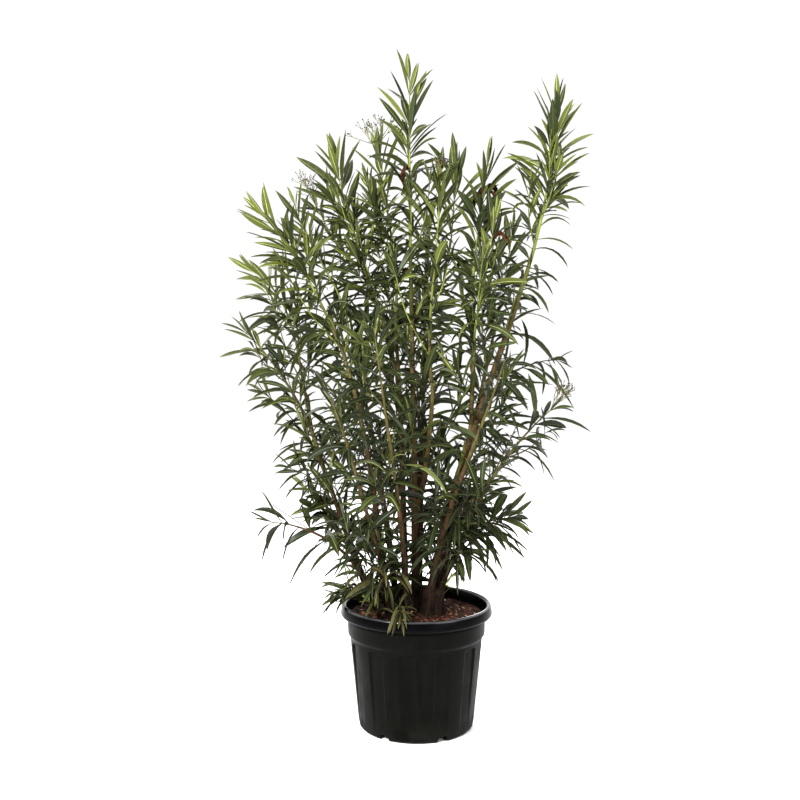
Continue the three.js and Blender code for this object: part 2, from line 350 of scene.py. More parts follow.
def closed_faces(rings, sides):
    """The quads between rings, with one face over the first ring and one over the last."""
    first = np.arange(sides)[None, ::-1]
    last = np.arange(sides)[None] + (rings - 1) * sides
    return [ring_faces(rings, sides), first, last]


def for_each(count, corners, faces):
    """The same faces for each of many shapes that have the same number of corners."""
    starts = (np.arange(count) * corners)[:, None, None]
    return (faces[None] + starts).reshape(-1, faces.shape[1])


def turns_round(sides):
    return np.arange(sides) * 2 * np.pi / sides


def polar(radius, turn, height):
    """Points at a distance from the upright axis, turned about it, at a height."""
    return np.stack(np.broadcast_arrays(radius * np.cos(turn), radius * np.sin(turn), height), -1)


# %% [markdown]
# ## Lines in space
# Stems, shoots and leaf ribs are all lines that bend. `Line` draws one with even steps and carries two
# directions across it from step to step without twisting, so that a tube or a ring of leaves built on it
# doesn't spin. Numbers that vary along a line are then read by distance from its foot.

# %% Directions and easing
def unit(vectors):
    return vectors / np.maximum(np.linalg.norm(vectors, axis=-1, keepdims=True), 1e-9)


def ease(value, low, high):
    """0 below low, 1 above high, and smooth between them."""
    share = np.clip((value - low) / (high - low), 0, 1)
    return share * share * (3 - 2 * share)


def smoothed(points, passes):
    """A line's points pulled towards their neighbours, with the ends kept."""
    points = np.array(points, float)
    for _ in range(passes):
        points[1:-1] = (points[:-2] + 2 * points[1:-1] + points[2:]) / 4
    return points


# %% Lines
ASIDE = (0.36, 0.93, 0.1)  # any direction that no shoot runs along, to start a line's cross directions from


class Line:
    """A smooth line in space, read by distance from its foot, with two directions across it."""

    def __init__(self, points, step=5 * MM, passes=6):
        points = np.asarray(points, float)
        known = np.r_[0, np.cumsum(np.linalg.norm(np.diff(points, axis=0), axis=1))]
        count = max(5, round(known[-1] / step) + 1)
        even = np.linspace(0, known[-1], count)
        points = np.stack([np.interp(even, known, points[:, axis]) for axis in range(3)], -1)
        self.points = smoothed(points, passes)
        self.at = np.r_[0, np.cumsum(np.linalg.norm(np.diff(self.points, axis=0), axis=1))]
        self.length = self.at[-1]
        self.run = unit(np.gradient(self.points, axis=0))
        self.across = np.empty_like(self.run)
        aside = np.cross(self.run[0], ASIDE)
        for i, run in enumerate(self.run):
            aside = unit(aside - run * np.dot(aside, run))
            self.across[i] = aside
        self.other = np.cross(self.run, self.across)

    def read(self, values, distance):
        """Values given at each point of the line, read at distances along it."""
        return np.stack([np.interp(distance, self.at, values[:, axis]) for axis in range(3)], -1)

    def point(self, distance):
        return self.read(self.points, distance)

    def heading(self, distance):
        return unit(self.read(self.run, distance))

    def around(self, distance, turn):
        """The direction across the line at each distance, turned about it."""
        turn = np.asarray(turn)[..., None]
        across = self.read(self.across, distance)
        return unit(across * np.cos(turn) + self.read(self.other, distance) * np.sin(turn))

    def turn_to(self, distance, way):
        """The turn about the line at a distance that faces a way."""
        across = self.read(self.across, distance)
        return math.atan2(np.dot(way, self.read(self.other, distance)), np.dot(way, across))

    def nearest(self, point):
        """How far along the line it comes closest to a point."""
        return self.at[np.linalg.norm(self.points - point, axis=1).argmin()]

    def gap(self, point):
        """How close the line comes to a point."""
        return np.linalg.norm(self.points - point, axis=1).min()


print("a straight metre is drawn with", len(Line([(0, 0, 0), (0, 0, 1)]).points), "points")

# %% [markdown]
# ## Reading the limbs and masses
# The plain model has a tapering solid for each stem and bough, and a lumpy one for each leafy shoot. To
# grow leaves on them, their centre lines are needed. A limb always leads away from its foot, so cutting it
# with spheres of growing size about the foot gives one small ring each time, and the rings' centres are the
# line. A leafy mass is read the same way from the end of its wood, and a cubic curve smooths what was read.

# %% Cutting a solid with spheres
NODES = frame["nodes"]


def solid(name):
    """A node's corners, and the pairs of them that its edges join."""
    mesh = NODES[name].data
    corners = np.zeros(len(mesh.vertices) * 3)
    mesh.vertices.foreach_get("co", corners)
    pairs = np.zeros(len(mesh.edges) * 2, np.int32)
    mesh.edges.foreach_get("vertices", pairs)
    return corners.reshape(-1, 3), pairs.reshape(-1, 2)


def surface(name):
    """A node's surface, which can be asked for its nearest place to a point."""
    return BVHTree.FromObject(NODES[name], bpy.context.evaluated_depsgraph_get())


def cut_by_spheres(name, centre, shares):
    """Shares of a solid's reach from a centre, with the middle and radius of the ring cut at each."""
    corners, pairs = solid(name)
    distance = np.linalg.norm(corners - centre, axis=1)
    near, far = distance[pairs[:, 0]], distance[pairs[:, 1]]
    kept, middles, radii = [], [], []
    for share in shares:
        cut = share * distance.max()
        crossed = (near - cut) * (far - cut) < 0
        if crossed.sum() < 3:
            continue
        part = ((cut - near[crossed]) / (far[crossed] - near[crossed]))[:, None]
        first, second = corners[pairs[crossed, 0]], corners[pairs[crossed, 1]]
        ring = first + part * (second - first)
        kept.append(share)
        middles.append(ring.mean(0))
        radii.append(np.linalg.norm(ring - ring.mean(0), axis=1).mean())
    return np.array(kept), np.array(middles), np.array(radii)


# %% Where things stand
SOIL_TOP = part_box("soil")[1].z
STUMP_LOW, STUMP_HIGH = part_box("stump")
STUMP_CORE = np.array([
    (STUMP_LOW.x + STUMP_HIGH.x) / 2,
    (STUMP_LOW.y + STUMP_HIGH.y) / 2,
    SOIL_TOP + 20 * MM,
])
print(f"the soil's top is at {SOIL_TOP:.3f} m, and the stump stands at {STUMP_CORE.round(3)}")
print(len(NODES), "solids in the plain model")

# %% Shoots: their wood and their leafy ends
FOOT_BAND = 14 * MM  # corners this close above a limb's lowest one are its foot
WOOD_SHARES = (0.1, 0.2, 0.32, 0.44, 0.56, 0.68, 0.8, 0.92, 0.99)
MASS_SHARES = np.linspace(0.08, 0.94, 12)
FOOT_WEIGHT, TIP_WEIGHT = 20, 4  # how hard the leader's curve is held to the wood's end and the mass's tip
LEADER_POINTS = 14
TIP_RADIUS = 1.3 * MM
TUFT_GIRTH = 3.4 * MM  # the radius at the foot of a tuft's wood
LEAF_REACH = 70 * MM  # how far the topmost leaves reach past the wood's tip
HANGING_REACH = 150 * MM  # and on the shoot that hangs over the pot's lip
LEAST_LEAFY = 70 * MM
SUNK_FOOT = 4 * MM  # how far a stem's line starts below the soil


class Shoot:
    """A stem, bough or tuft: one line of wood from foot to tip, its radius, and where its leaves start."""

    def __init__(self, name, parent=None):
        self.name = name
        self.parent = parent
        self.family = parent.family if parent else name
        self.mass = f"{name}_leaves"
        self.wood = next((node for node in (f"{name}_stem", f"{name}_bough") if node in NODES), None)
        points, radii = self.read_wood() if self.wood else self.find_base()
        self.bare = Line(points).length if self.wood else 0
        leader, tip = self.read_leader(points[-1])
        whole = Line(np.vstack([points, leader]))
        keep = whole.at < whole.length - (HANGING_REACH if name == "rim" else LEAF_REACH)
        self.line = Line(whole.points[keep], passes=1)
        self.leafy = max(self.line.length - self.bare, LEAST_LEAFY)
        known_at = np.linspace(0, self.bare, len(radii)) if self.wood else [0]
        self.radius = np.interp(self.line.at, np.r_[known_at, self.line.length], np.r_[radii, TIP_RADIUS])
        self.seed = int(abs(tip).sum() * 1000)  # each shoot draws its own random numbers, always the same

    def read_wood(self):
        """Points and radii along a stem or bough, which starts in the soil, the stump or its parent."""
        corners, _ = solid(self.wood)
        foot = corners[corners[:, 2] < corners[:, 2].min() + FOOT_BAND].mean(0)
        _, middles, radii = cut_by_spheres(self.wood, foot, WOOD_SHARES)
        if self.parent:
            start = self.parent.line.point(self.parent.line.nearest(foot))
        elif foot[2] > SOIL_TOP + FOOT_BAND:
            start = STUMP_CORE
        else:
            start = foot - SUNK_FOOT * UP
        return np.vstack([start, foot, middles]), np.r_[radii[0], radii[0], radii]

    def find_base(self):
        """A tuft leaves its parent at the lowest place where its mass comes close to the parent's wood."""
        tree = surface(self.mass)
        line = self.parent.line
        gaps = np.array([tree.find_nearest(Vector(point))[3] for point in line.points]) - self.parent.radius
        first = np.argmax(gaps < gaps.min() + 4 * MM)
        return line.points[first][None], np.array([TUFT_GIRTH])

    def read_leader(self, start):
        """A smooth line up the middle of the leafy mass from the wood's end, and the mass's tip."""
        shares, middles, reach = cut_by_spheres(self.mass, start, MASS_SHARES)
        self.spread = np.percentile(reach, 80)
        corners, _ = solid(self.mass)
        tip = corners[np.linalg.norm(corners - start, axis=1).argmax()]
        known = np.vstack([start, middles, tip])
        weights = np.r_[FOOT_WEIGHT, np.ones(len(middles)), TIP_WEIGHT]
        curve = np.polyfit(np.r_[0, shares, 1], known, 3, w=weights)
        along = np.linspace(0, 1, LEADER_POINTS)[1:, None]
        return curve[0] * along**3 + curve[1] * along**2 + curve[2] * along + curve[3], tip

    def at_height(self, height):
        """How far along the shoot it is this high above the soil."""
        return np.interp(SOIL_TOP + height, self.line.points[:, 2], self.line.at)


# %% Which shoot grows on which
def parent_of(name):
    """The shoot that a bough or tuft grows on: the nearest, or for a tuft the one it is named after."""
    if f"{name}_bough" in NODES:
        corners, _ = solid(f"{name}_bough")
        foot = corners[corners[:, 2].argmin()]
        return min(SHOOTS.values(), key=lambda shoot: shoot.line.gap(foot))
    namesakes = [shoot for shoot in SHOOTS.values() if name.startswith(shoot.name)]
    return max(namesakes, key=lambda shoot: len(shoot.name))


NAMES = sorted(node[: -len("_leaves")] for node in NODES if node.endswith("_leaves"))
STEMS = [name for name in NAMES if f"{name}_stem" in NODES]
BOUGHS = [name for name in NAMES if f"{name}_bough" in NODES]
TUFTS = [name for name in NAMES if name not in STEMS and name not in BOUGHS]
SHOOTS = {name: Shoot(name) for name in STEMS}
for name in BOUGHS + TUFTS:
    SHOOTS[name] = Shoot(name, parent_of(name))
for shoot in SHOOTS.values():
    print(f"{shoot.name}: {shoot.line.length:.2f} m long, with leaves on the last {shoot.leafy:.2f} m")

# %% [markdown]
# ## The wood
# An oleander cane is round and nearly smooth, swells a little at each joint where three leaves once sat,
# and is brown below and green where it is young. A plain tube would be too perfect, so each ring's radius
# wanders, and a narrow ridge runs round it at every joint. Each corner also keeps the wood's age, from 0 at
# a green tip to 1 on old brown wood, for the bark's finish to read.

# %% Tubes along lines
def tube(line, radius, sides):
    """Corners and faces of a closed tube. radius has one number, or one a side, for each point."""
    turn = turns_round(sides)[:, None]
    radius = np.reshape(radius, (len(line.points), -1))[..., None]
    way = line.across[:, None] * np.cos(turn) + line.other[:, None] * np.sin(turn)
    corners = (line.points[:, None] + way * radius).reshape(-1, 3)
    return corners, closed_faces(len(line.points), sides)


# %% The wood's age
GREEN_RADIUS, BROWN_RADIUS = 3.2 * MM, 10.0 * MM
GREEN_HEIGHT, BROWN_HEIGHT = 1.4, 0.88
THICK_SHARE, LOW_SHARE, LOWEST_SHARE = 0.5, 0.45, 0.65  # how much age each gives


def wood_age(height, radius):
    """1 on thick low wood, 0 on thin high shoots."""
    thick = ease(radius, GREEN_RADIUS, BROWN_RADIUS)
    low = 1 - ease(height, BROWN_HEIGHT, GREEN_HEIGHT)
    lowest = 1 - ease(height, SOIL_TOP, BROWN_HEIGHT)
    return np.clip(THICK_SHARE * thick + LOW_SHARE * low + LOWEST_SHARE * lowest, 0, 1)


for height in (0.4, 0.9, 1.5):
    print("a cane 8 mm thick has an age of", wood_age(height, 4 * MM).round(2), "at", height, "m")

# %% The canes
RING_STEP = 3.2 * MM
STEM_SIDES, BOUGH_SIDES = 12, 9
OVAL, LOBES, ROUGH = 0.05, 0.04, 0.025  # how far a ring strays from round, as shares of its radius
JOINT_GAP = 31 * MM
JOINT_WANDER = 4 * MM
RIDGE_WIDTH = 2.6 * MM
RIDGE_HEIGHT, RIDGE_SHARE = 0.25 * MM, 0.07  # on any cane, and what its radius adds
COLLAR_SWELL, COLLAR_LENGTH = 0.35, 14 * MM  # where a bough leaves its parent
YOUNG_GIRTH = 0.88  # young wood is this much of the plain stems' thickness


def cane(pile, shoot, sides):
    rng = np.random.default_rng(shoot.seed)
    line = Line(shoot.line.points, RING_STEP, 2)
    radius = np.interp(line.at, shoot.line.at, shoot.radius)[:, None]
    turn = turns_round(sides)[None]
    at = line.at[:, None]
    first, second, third = rng.uniform(0, 2 * np.pi, 3)
    oval = OVAL * np.sin(2 * turn + 11 * at + first)
    lobes = LOBES * np.sin(3 * turn - 17 * at + second)
    rough = rng.normal(0, ROUGH, (len(at), sides)) * ease(radius, GREEN_RADIUS, BROWN_RADIUS)
    since_joint = (at + JOINT_WANDER * np.sin(at / 0.07 + third)) % JOINT_GAP - JOINT_GAP / 2
    scars = 0.6 + 0.4 * np.cos(3 * turn + np.floor(at / JOINT_GAP) * np.pi)
    ridge = np.exp(-((since_joint / RIDGE_WIDTH) ** 2)) * scars * (RIDGE_HEIGHT + RIDGE_SHARE * radius)
    collar = 1 + (COLLAR_SWELL * np.exp(-((at / COLLAR_LENGTH) ** 2)) if shoot.parent else 0)
    full = radius * (1 + oval + lobes + rough) * collar + ridge
    age = wood_age(line.points[:, 2], radius[:, 0])
    girth = YOUNG_GIRTH + (1 - YOUNG_GIRTH) * ease(age, 0.1, 0.6)
    corners, faces = tube(line, full * girth[:, None], sides)
    pile.add(corners, faces, values=np.repeat(age, sides))


bark_pile = Pile()
for name in STEMS + BOUGHS:
    cane(bark_pile, SHOOTS[name], STEM_SIDES if name in STEMS else BOUGH_SIDES)
print(len(STEMS), "stems and", len(BOUGHS), "boughs")

# %% The stump
STUMP_RINGS, STUMP_SIDES = 26, 72
STUMP_REACH = (STUMP_HIGH.x - STUMP_LOW.x) / 2 * 0.86
STUMP_LEAN = np.array([7 * MM, -2 * MM, 0])  # how far its top stands from over its foot
ROOT_FLARE = 0.22  # how much wider it is at the soil
SHOULDER = 0.72  # the share of its height where it starts to close over


def stump(pile):
    """The fluted foot where the right-hand stems leave the soil as one."""
    height = STUMP_HIGH.z - SOIL_TOP
    turn = turns_round(STUMP_SIDES)[None]
    rise = np.linspace(-0.08, 1, STUMP_RINGS)[:, None]
    flare = 1 + ROOT_FLARE * np.exp(-np.clip(rise, 0, 1) * 6)
    closing = np.clip((rise - SHOULDER) / (1 - SHOULDER), 0, 1)
    top = np.sqrt(np.clip(1 - closing**2, 0.02, 1))
    flutes = 0.11 * np.cos(4 * turn + 1.2 + 1.1 * rise) + 0.05 * np.cos(7 * turn - 2 * rise)
    grain = 0.016 * np.sin(23 * turn + 5 * np.sin(6 * rise)) + 0.012 * np.sin(37 * turn - 9 * rise)
    reach = STUMP_REACH * flare * (1 + flutes * (1.3 - 0.5 * rise) + grain) * top
    centre = STUMP_CORE * (1, 1, 0)
    corners = polar(reach, turn, rise * height) + centre + SOIL_TOP * UP + STUMP_LEAN * rise[..., None]
    faces = closed_faces(STUMP_RINGS, STUMP_SIDES)
    pile.add(corners.reshape(-1, 3), faces, values=np.ones(STUMP_RINGS * STUMP_SIDES))


stump(bark_pile)
print("corners in the wood:", bark_pile.count)

# %% [markdown]
# ## Bark
# Old oleander bark is a warm grey-brown with fine cracks along the cane and small pale breathing spots, and
# it turns olive and then fresh green up the shoot. The finish reads the wood's age from the mesh to blend
# the two, and stretched noise gives the cracks. Taking the colour from an attribute keeps it on the wood in
# every view.

# %% Bark finish
DARK_HEIGHT = 0.72  # the bark is darkest at the soil and its usual brown from here up


def bark_finish():
    finish = Finish("oleander bark", Specular_IOR_Level=0.08)
    age = finish.node("ShaderNodeAttribute", {"attribute_name": "age"}, output="Fac")
    low = finish.height().ramp(SOIL_TOP, DARK_HEIGHT, 1, 0)
    streaks = finish.noise(240, 5, 0.6, stretch=(1, 1, 0.22))
    fibres = finish.noise(150, 4, 0.65, stretch=(1, 1, 0.09))
    blotches = finish.noise(46, 3, 0.55, stretch=(1, 1, 0.5))
    spots = {"Vector": finish.place((1, 1, 0.6)), "Scale": 230}
    pale_spot = finish.node("ShaderNodeTexVoronoi", {}, spots, "Distance").ramp(0.10, 0.22, 1, 0)

    brown = finish.blend(streaks.ramp(0.3, 0.7), colour(38, 26, 15), colour(86, 64, 40))
    brown = finish.blend(blotches.ramp(0.42, 0.66) * 0.55, brown, colour(74, 55, 38))
    cracked = (fibres * 0.7 + streaks * 0.3).ramp(0.38, 0.64)
    brown = finish.blend(low, brown, finish.blend(cracked, colour(4, 3, 2), colour(31, 19, 12)))
    brown = finish.blend(pale_spot * (0.5 - 0.3 * low), brown, colour(112, 86, 62))
    olive = finish.blend(streaks.ramp(0.35, 0.7), colour(60, 53, 28), colour(88, 80, 44))
    green = finish.blend(blotches.ramp(0.3, 0.7), colour(90, 97, 40), colour(126, 133, 62))

    patchy = age + (blotches - 0.5) * 0.5
    young = finish.blend(patchy.ramp(0.14, 0.46), green, olive)
    finish.set(Base_Color=finish.blend(patchy.ramp(0.6, 0.92), young, brown))
    finish.set(Roughness=patchy.ramp(0.2, 0.8, 0.5, 0.86))
    relief = streaks * 0.8 + blotches * 0.4 - pale_spot * 0.25 + fibres * low * 1.2
    return finish.bump(relief * patchy.ramp(0.1, 0.7, 0.2, 1), 1.2 * MM)


wood_nodes = [SHOOTS[name].wood for name in STEMS + BOUGHS]
add_piece("bark", bark_pile, [bark_finish()], wood_nodes + ["stump"], value_name="age")

# %% [markdown]
# ## The branching rule
# Oleander grows in threes. Every joint of a shoot has three leaves, turned a sixth of a circle from the
# three below. Leaves start upright and crowded at the tip, then open, lengthen and arch over as the shoot
# grows past them, and the lowest ones drop. All of this is a rule with a few numbers, so one function leafs
# out any line, and the masses only say where.

# %% Leaves waiting to be made
class Foliage:
    """Leaves waiting to be made, in batches with a row for each leaf and a column for each quality."""

    def __init__(self):
        self.batches = []

    def add(self, kept=slice(None), **columns):
        self.batches.append({key: values[kept] for key, values in columns.items()})

    def column(self, key):
        return np.concatenate([batch[key] for batch in self.batches])

    def keep(self, chosen):
        self.batches = [{key: self.column(key)[chosen] for key in self.batches[0]}]

    def merge(self):
        """Makes one batch of all, and gives its columns, to be changed in place."""
        self.keep(slice(None))
        return self.batches[0]


# %% The rule for leaves
WHORL = 3
FIRST_JOINT = 1 * MM  # how far below the tip the first three leaves sit
TIP_GAP, LOW_GAP = 25 * MM, 29.5 * MM  # between joints at a shoot's tip and further down
UPRIGHT, SPREAD, OPEN = 12, 22, 30  # degrees from the shoot in the bud, and what young and grown leaves add
UNFOLDING = 45 * MM  # how far below the tip a leaf has left the bud
OPENING = (0.04, 0.4)  # how far below the tip a leaf starts to open, and is fully open
EARLY = 0.2  # how much nearer the tip all this happens on an old shoot
YOUNG_LENGTH = 0.6  # a leaf's length in the bud, as a share of its grown one
WIDTH, NARROWING = 0.150, 0.042  # a young leaf's width as a share of its length, and what an old one loses
FOLDED = (14, 36)  # degrees that each half of a blade is raised
DEEPENING = 2.4  # tints from a young leaf to a grown one
TINTS = 6
FADED = TINTS  # one tint more, for leaves that age in the shade


def leaf_out(foliage, rng, line, leafy, size, age, shade, habit):
    """Whorls of three down a line from its tip. age is 0 for a fresh shoot and 1 for an old one."""
    joints = [FIRST_JOINT]
    while joints[-1] < leafy:
        gap = TIP_GAP + (LOW_GAP - TIP_GAP) * ease(joints[-1], 0, 0.2)
        joints.append(joints[-1] + gap * rng.uniform(0.75, 1.25))
    below = np.repeat(joints, WHORL)
    at = line.length - below
    count = len(below)
    turn = np.tile(np.arange(WHORL), len(joints)) * 2 * np.pi / WHORL
    turn = turn + np.repeat(np.arange(len(joints)), WHORL) * np.pi / WHORL
    turn = turn + rng.uniform(0, 2 * np.pi) + rng.normal(0, 0.22, count)
    unfolded = ease(below, 0, UNFOLDING)
    opened = ease(below + EARLY * age + habit.ripe, *OPENING)
    length = size * (YOUNG_LENGTH + (1 - YOUNG_LENGTH) * unfolded) * rng.normal(1, 0.17, count)
    lift = UPRIGHT + SPREAD * unfolded + OPEN * opened + rng.normal(0, 9, count)
    width = length * habit.slim * (rng.normal(WIDTH, 0.022, count) - NARROWING * opened)
    sag = (0.05 + 0.95 * opened) * habit.droop * rng.uniform(0.3, 1.9, count)
    curl = rng.normal(0.2, 0.2, count) * opened
    roll = rng.normal(0, 0.42, count)
    twist = rng.normal(0, 0.5, count)
    fold = rng.uniform(*FOLDED, count)
    # shade deepens every tint of the spray, as painted shade; grown leaves are deeper still
    tint = shade + DEEPENING * opened + rng.normal(0, 1.5, count) * habit.mix * (1 - 0.35 * opened)
    foliage.add(
        kept=rng.random(count) > habit.loss * (0.1 + 0.9 * below / leafy),
        base=line.point(at),
        run=line.heading(at),
        out=line.around(at, turn),
        lift=np.radians(lift),
        length=length,
        width=width,
        sag=sag,
        curl=curl,
        roll=roll,
        twist=twist,
        fold=np.radians(fold),
        tint=np.full(count, FADED) if habit.faded else np.clip(np.rint(tint), 0, TINTS - 1).astype(int),
    )


# %% [markdown]
# ## Side shoots
# A side shoot leaves its parent at a narrow angle, then bends upward until it runs beside it. Twelve short
# steps, each headed a little nearer to the parent's own way, give that curve without any hand-placed
# points.

# %% The rule for side shoots
SIDE_STEPS = 12
STRAIGHTENING = 0.7  # the share of its first angle that a side shoot loses by its tip
CLIMB = 0.18  # how strongly its tip turns upward


def side_line(line, at, turn, reach, lean):
    """A side shoot that leaves at an angle and bends to run beside its parent."""
    share = np.linspace(0, 1, SIDE_STEPS)[:, None]
    angle = lean * (1 - STRAIGHTENING * ease(share, 0.1, 1))
    run, out = line.heading(at), line.around(at, turn)
    headings = unit(run * np.cos(angle) + out * np.sin(angle) + CLIMB * share * UP)
    points = line.point(at) + np.cumsum(headings, axis=0) * reach / SIDE_STEPS
    return Line(np.vstack([line.point(at), points]), 6 * MM, 1)


# %% [markdown]
# ## How shoots differ
# No two shoots are alike: one in the light is dense and fresh, and one in the shade has dropped its old
# leaves and is dark, with that shade painted into its leaves' tints. A table gives each shoot only the
# numbers that differ from the usual, so the plant's character can be read and changed in one place.

# %% Habits
class Habit:
    """How one shoot grows. What isn't given stays as usual."""

    size = None  # its leaves' length in metres, or None to let it follow from the width of the mass
    sides = 2  # how many side shoots it has
    loss = 0.4  # the share of old leaves gone
    ripe = 0.0  # how far below a tip its leaves seem to start
    shade = 0.0  # tints added to its leaves, as painted shade; a higher tint is darker
    slim = 1.0  # how wide its leaves are, against the usual
    droop = 1.0  # how much they sag, against the usual
    sprigs = True  # whether its bare wood carries sprigs
    bare = None  # how far above the soil the first sprig is, or None for the rule further down
    faded = False  # whether its leaves have aged in the shade
    mix = 1.0  # how much its leaves' tints differ, against the usual

    def __init__(self, **given):
        vars(self).update(given)


USUAL = Habit()
HABITS = {
    "crest": Habit(size=0.112, sides=3, loss=0.15, shade=1.1),
    "right": Habit(size=0.12, sides=4, loss=0.15, shade=0.1, mix=1.7, sprigs=False),
    "right_low": Habit(size=0.112, sides=2, loss=0.6, shade=0.5),
    "right_inner": Habit(size=0.112, sides=2, loss=0.4, shade=1.0),
    "right_inner_tip": Habit(size=0.11, sides=2, loss=0.3, shade=0.3),
    "mate": Habit(sides=5, loss=0.15, shade=0.25),
    "left_tall": Habit(size=0.112, sides=3, loss=0.2, shade=0.6),
    "left_tall_mid": Habit(sides=1, loss=0.6),
    "left_high": Habit(size=0.118, sides=3, loss=0.0, shade=0.4, bare=0.5),
    "left_high_in": Habit(sides=1, loss=0.5),
    "left": Habit(size=0.11, sides=2, loss=0.5, shade=-0.7, bare=0.03),
    "left_outer": Habit(size=0.108, sides=5, loss=0.4, shade=-0.5),
    "left_low": Habit(size=0.1, sides=0, loss=2.0, slim=1.15, droop=0.9),
    "left_foot": Habit(size=0.1, sides=3, loss=0.3, shade=-0.5, bare=0.03),
    "left_skirt": Habit(size=0.12, sides=5, loss=0.1, droop=1.2, shade=-0.4),
    "fork": Habit(size=0.105, sides=2, loss=0.4, shade=0.5),
    "fork_tip": Habit(sides=1, loss=0.6),
    "right_sleeve": Habit(size=0.14, sides=0, loss=1.0, ripe=0.3, shade=1.1, slim=0.9),
    "right_side": Habit(size=0.13, sides=0, loss=0.7, ripe=0.3, shade=1.1),
    "right_back": Habit(size=0.12, sides=0, loss=0.9, ripe=0.3, shade=0.8),
    "front": Habit(size=0.115, sides=1, loss=0.45, ripe=0.1, shade=1.2),
    "front_left": Habit(size=0.105, sides=0, loss=0.7, ripe=0.1, shade=1.0, bare=0.12),
    "front_right": Habit(size=0.11, sides=0, loss=0.85, ripe=0.1, shade=1.6, bare=0.1),
    "front_left_low": Habit(size=0.115, sides=1, loss=0.6, ripe=0.1, shade=1.1),
    "front_right_low": Habit(size=0.12, sides=4, loss=0.4, shade=1.0, bare=0.02),
    "back": Habit(size=0.112, sides=1, loss=0.4, shade=0.8, bare=0.06),
    "back_low": Habit(size=0.115, sides=3, loss=0.4, shade=1.0, bare=0.02),
    "back_left": Habit(size=0.105, sides=0, loss=0.65, ripe=0.1, shade=1.0),
    "back_left_low": Habit(sides=1, loss=0.7, shade=0.4),
    "back_right": Habit(size=0.11, sides=3, loss=0.35, shade=1.4, bare=0.05),
    "low_left": Habit(size=0.125, sides=0, loss=0.8, ripe=0.2, slim=1.2, droop=0.8, shade=0.1, bare=0.06),
    "low_right": Habit(size=0.13, sides=4, loss=0.1, slim=1.2, droop=1.1),
    "rim": Habit(size=0.108, sides=2, loss=0.0, ripe=0.12, slim=1.15, droop=2.2, sprigs=False, faded=True),
}
print(len(HABITS), "shoots have habits of their own")

# %% [markdown]
# ## Growing every shoot
# Each shoot is leafed out along its own line and then gets its side shoots, which must end inside the plain
# mass, so that the plant keeps its outline. Chance draws the details, but from numbers that are always the
# same for a shoot. Every twig is noted on the way, to be made later as a tube.

# %% Growing a shoot
GOLDEN_TURN = math.pi * (3 - math.sqrt(5))
LOW_TIP, HIGH_TIP = 0.75, 1.45  # tips this low count as old and this high as fresh; lower tips get darker tints, for age and as painted shade
FRESH_SHADE, OLD_SHADE = 0.5, 1.4  # the tint that a fresh tip starts from, and what an old, low one adds, for age and as painted shade
LEAST_SIZE, MOST_SIZE = 92 * MM, 120 * MM
SIDE_PART = 0.62  # the share of the leafy part, from below, that side shoots come from
SIDE_GIRTH = 2.3 * MM
SIDE_LEAFY, SIDE_SIZE = 0.9, 0.9  # a side shoot's leafy share, and its leaves against its parent's
SHADED = 0.6  # how much older the leaves on side shoots seem, standing among others
DEEP = 16 * MM  # how deep a side shoot's tip stays in the plain mass
TRIES = 12
twig_lines = []
foliage = {name: Foliage() for name in SHOOTS}


def side_shoot(shoot, mass, at, turn, reach, rng):
    """A side shoot, turned and pressed to its parent until its tip lies well inside the plain mass."""
    for i in range(TRIES):
        lean = rng.uniform(0.4, 0.7) * (1 - 0.6 * i / TRIES)
        line = side_line(shoot.line, at, turn + i * GOLDEN_TURN, reach, lean)
        tip = Vector(line.points[-1])
        near, normal, _, gap = mass.find_nearest(tip)
        if (tip - near).dot(normal) < 0 and gap > DEEP:
            break
    return line


def grow(shoot):
    """Leaves, side shoots and sprigs for one shoot."""
    rng = np.random.default_rng(shoot.seed)
    leaves = foliage[shoot.name]
    habit = HABITS.get(shoot.name, USUAL)
    age = 1 - ease(shoot.line.points[-1, 2], LOW_TIP, HIGH_TIP)
    # A spray's tint: deeper on old, low shoots and as the habit gives, for age and as painted shade.
    shade = FRESH_SHADE + OLD_SHADE * age + habit.shade + rng.normal(0, 0.3)
    size = habit.size or np.clip(shoot.spread / 0.66, LEAST_SIZE, MOST_SIZE)
    leaf_out(leaves, rng, shoot.line, shoot.leafy, size, age, shade, habit)
    if shoot.name in TUFTS:
        twig_lines.append((shoot.line, TUFT_GIRTH, age))
    mass = surface(shoot.mass)
    for i in range(habit.sides):
        at = shoot.bare + shoot.leafy * (i + rng.uniform(0, 0.9)) / habit.sides * SIDE_PART
        reach = (shoot.line.length - at) * rng.uniform(0.34, 0.6) + 30 * MM
        line = side_shoot(shoot, mass, at, i * GOLDEN_TURN + rng.normal(0, 0.3), reach, rng)
        twig_lines.append((line, SIDE_GIRTH, age))
        # Side shoots stand among other leaves, so their tints are deeper: painted shade.
        deeper = shade + rng.normal(0.5, 0.5)
        leaf_out(leaves, rng, line, line.length * SIDE_LEAFY, size * SIDE_SIZE, age + SHADED, deeper, habit)
    if habit.sprigs:
        sprigs(leaves, rng, shoot, size, age, habit)


# %% Sprigs on bare wood
INNER_BARE, OUTER_BARE = 0.42, 0.07  # how far above the soil the first sprig is, on inner and outer stems
INNER_FOOT, OUTER_FOOT = 30 * MM, 75 * MM  # how far from the pot's middle such stems stand
FORK_BARE = 60 * MM  # and how far along a bough
SPRIG_GAP = 80 * MM
SPRIG_GIRTH = 2.0 * MM
# SPRIG_SHADE deepens the tints of sprigs low among the stems, as painted shade.
SPRIG_SIZE, SPRIG_AGE, SPRIG_SHADE = 1.05, 0.6, 1.8


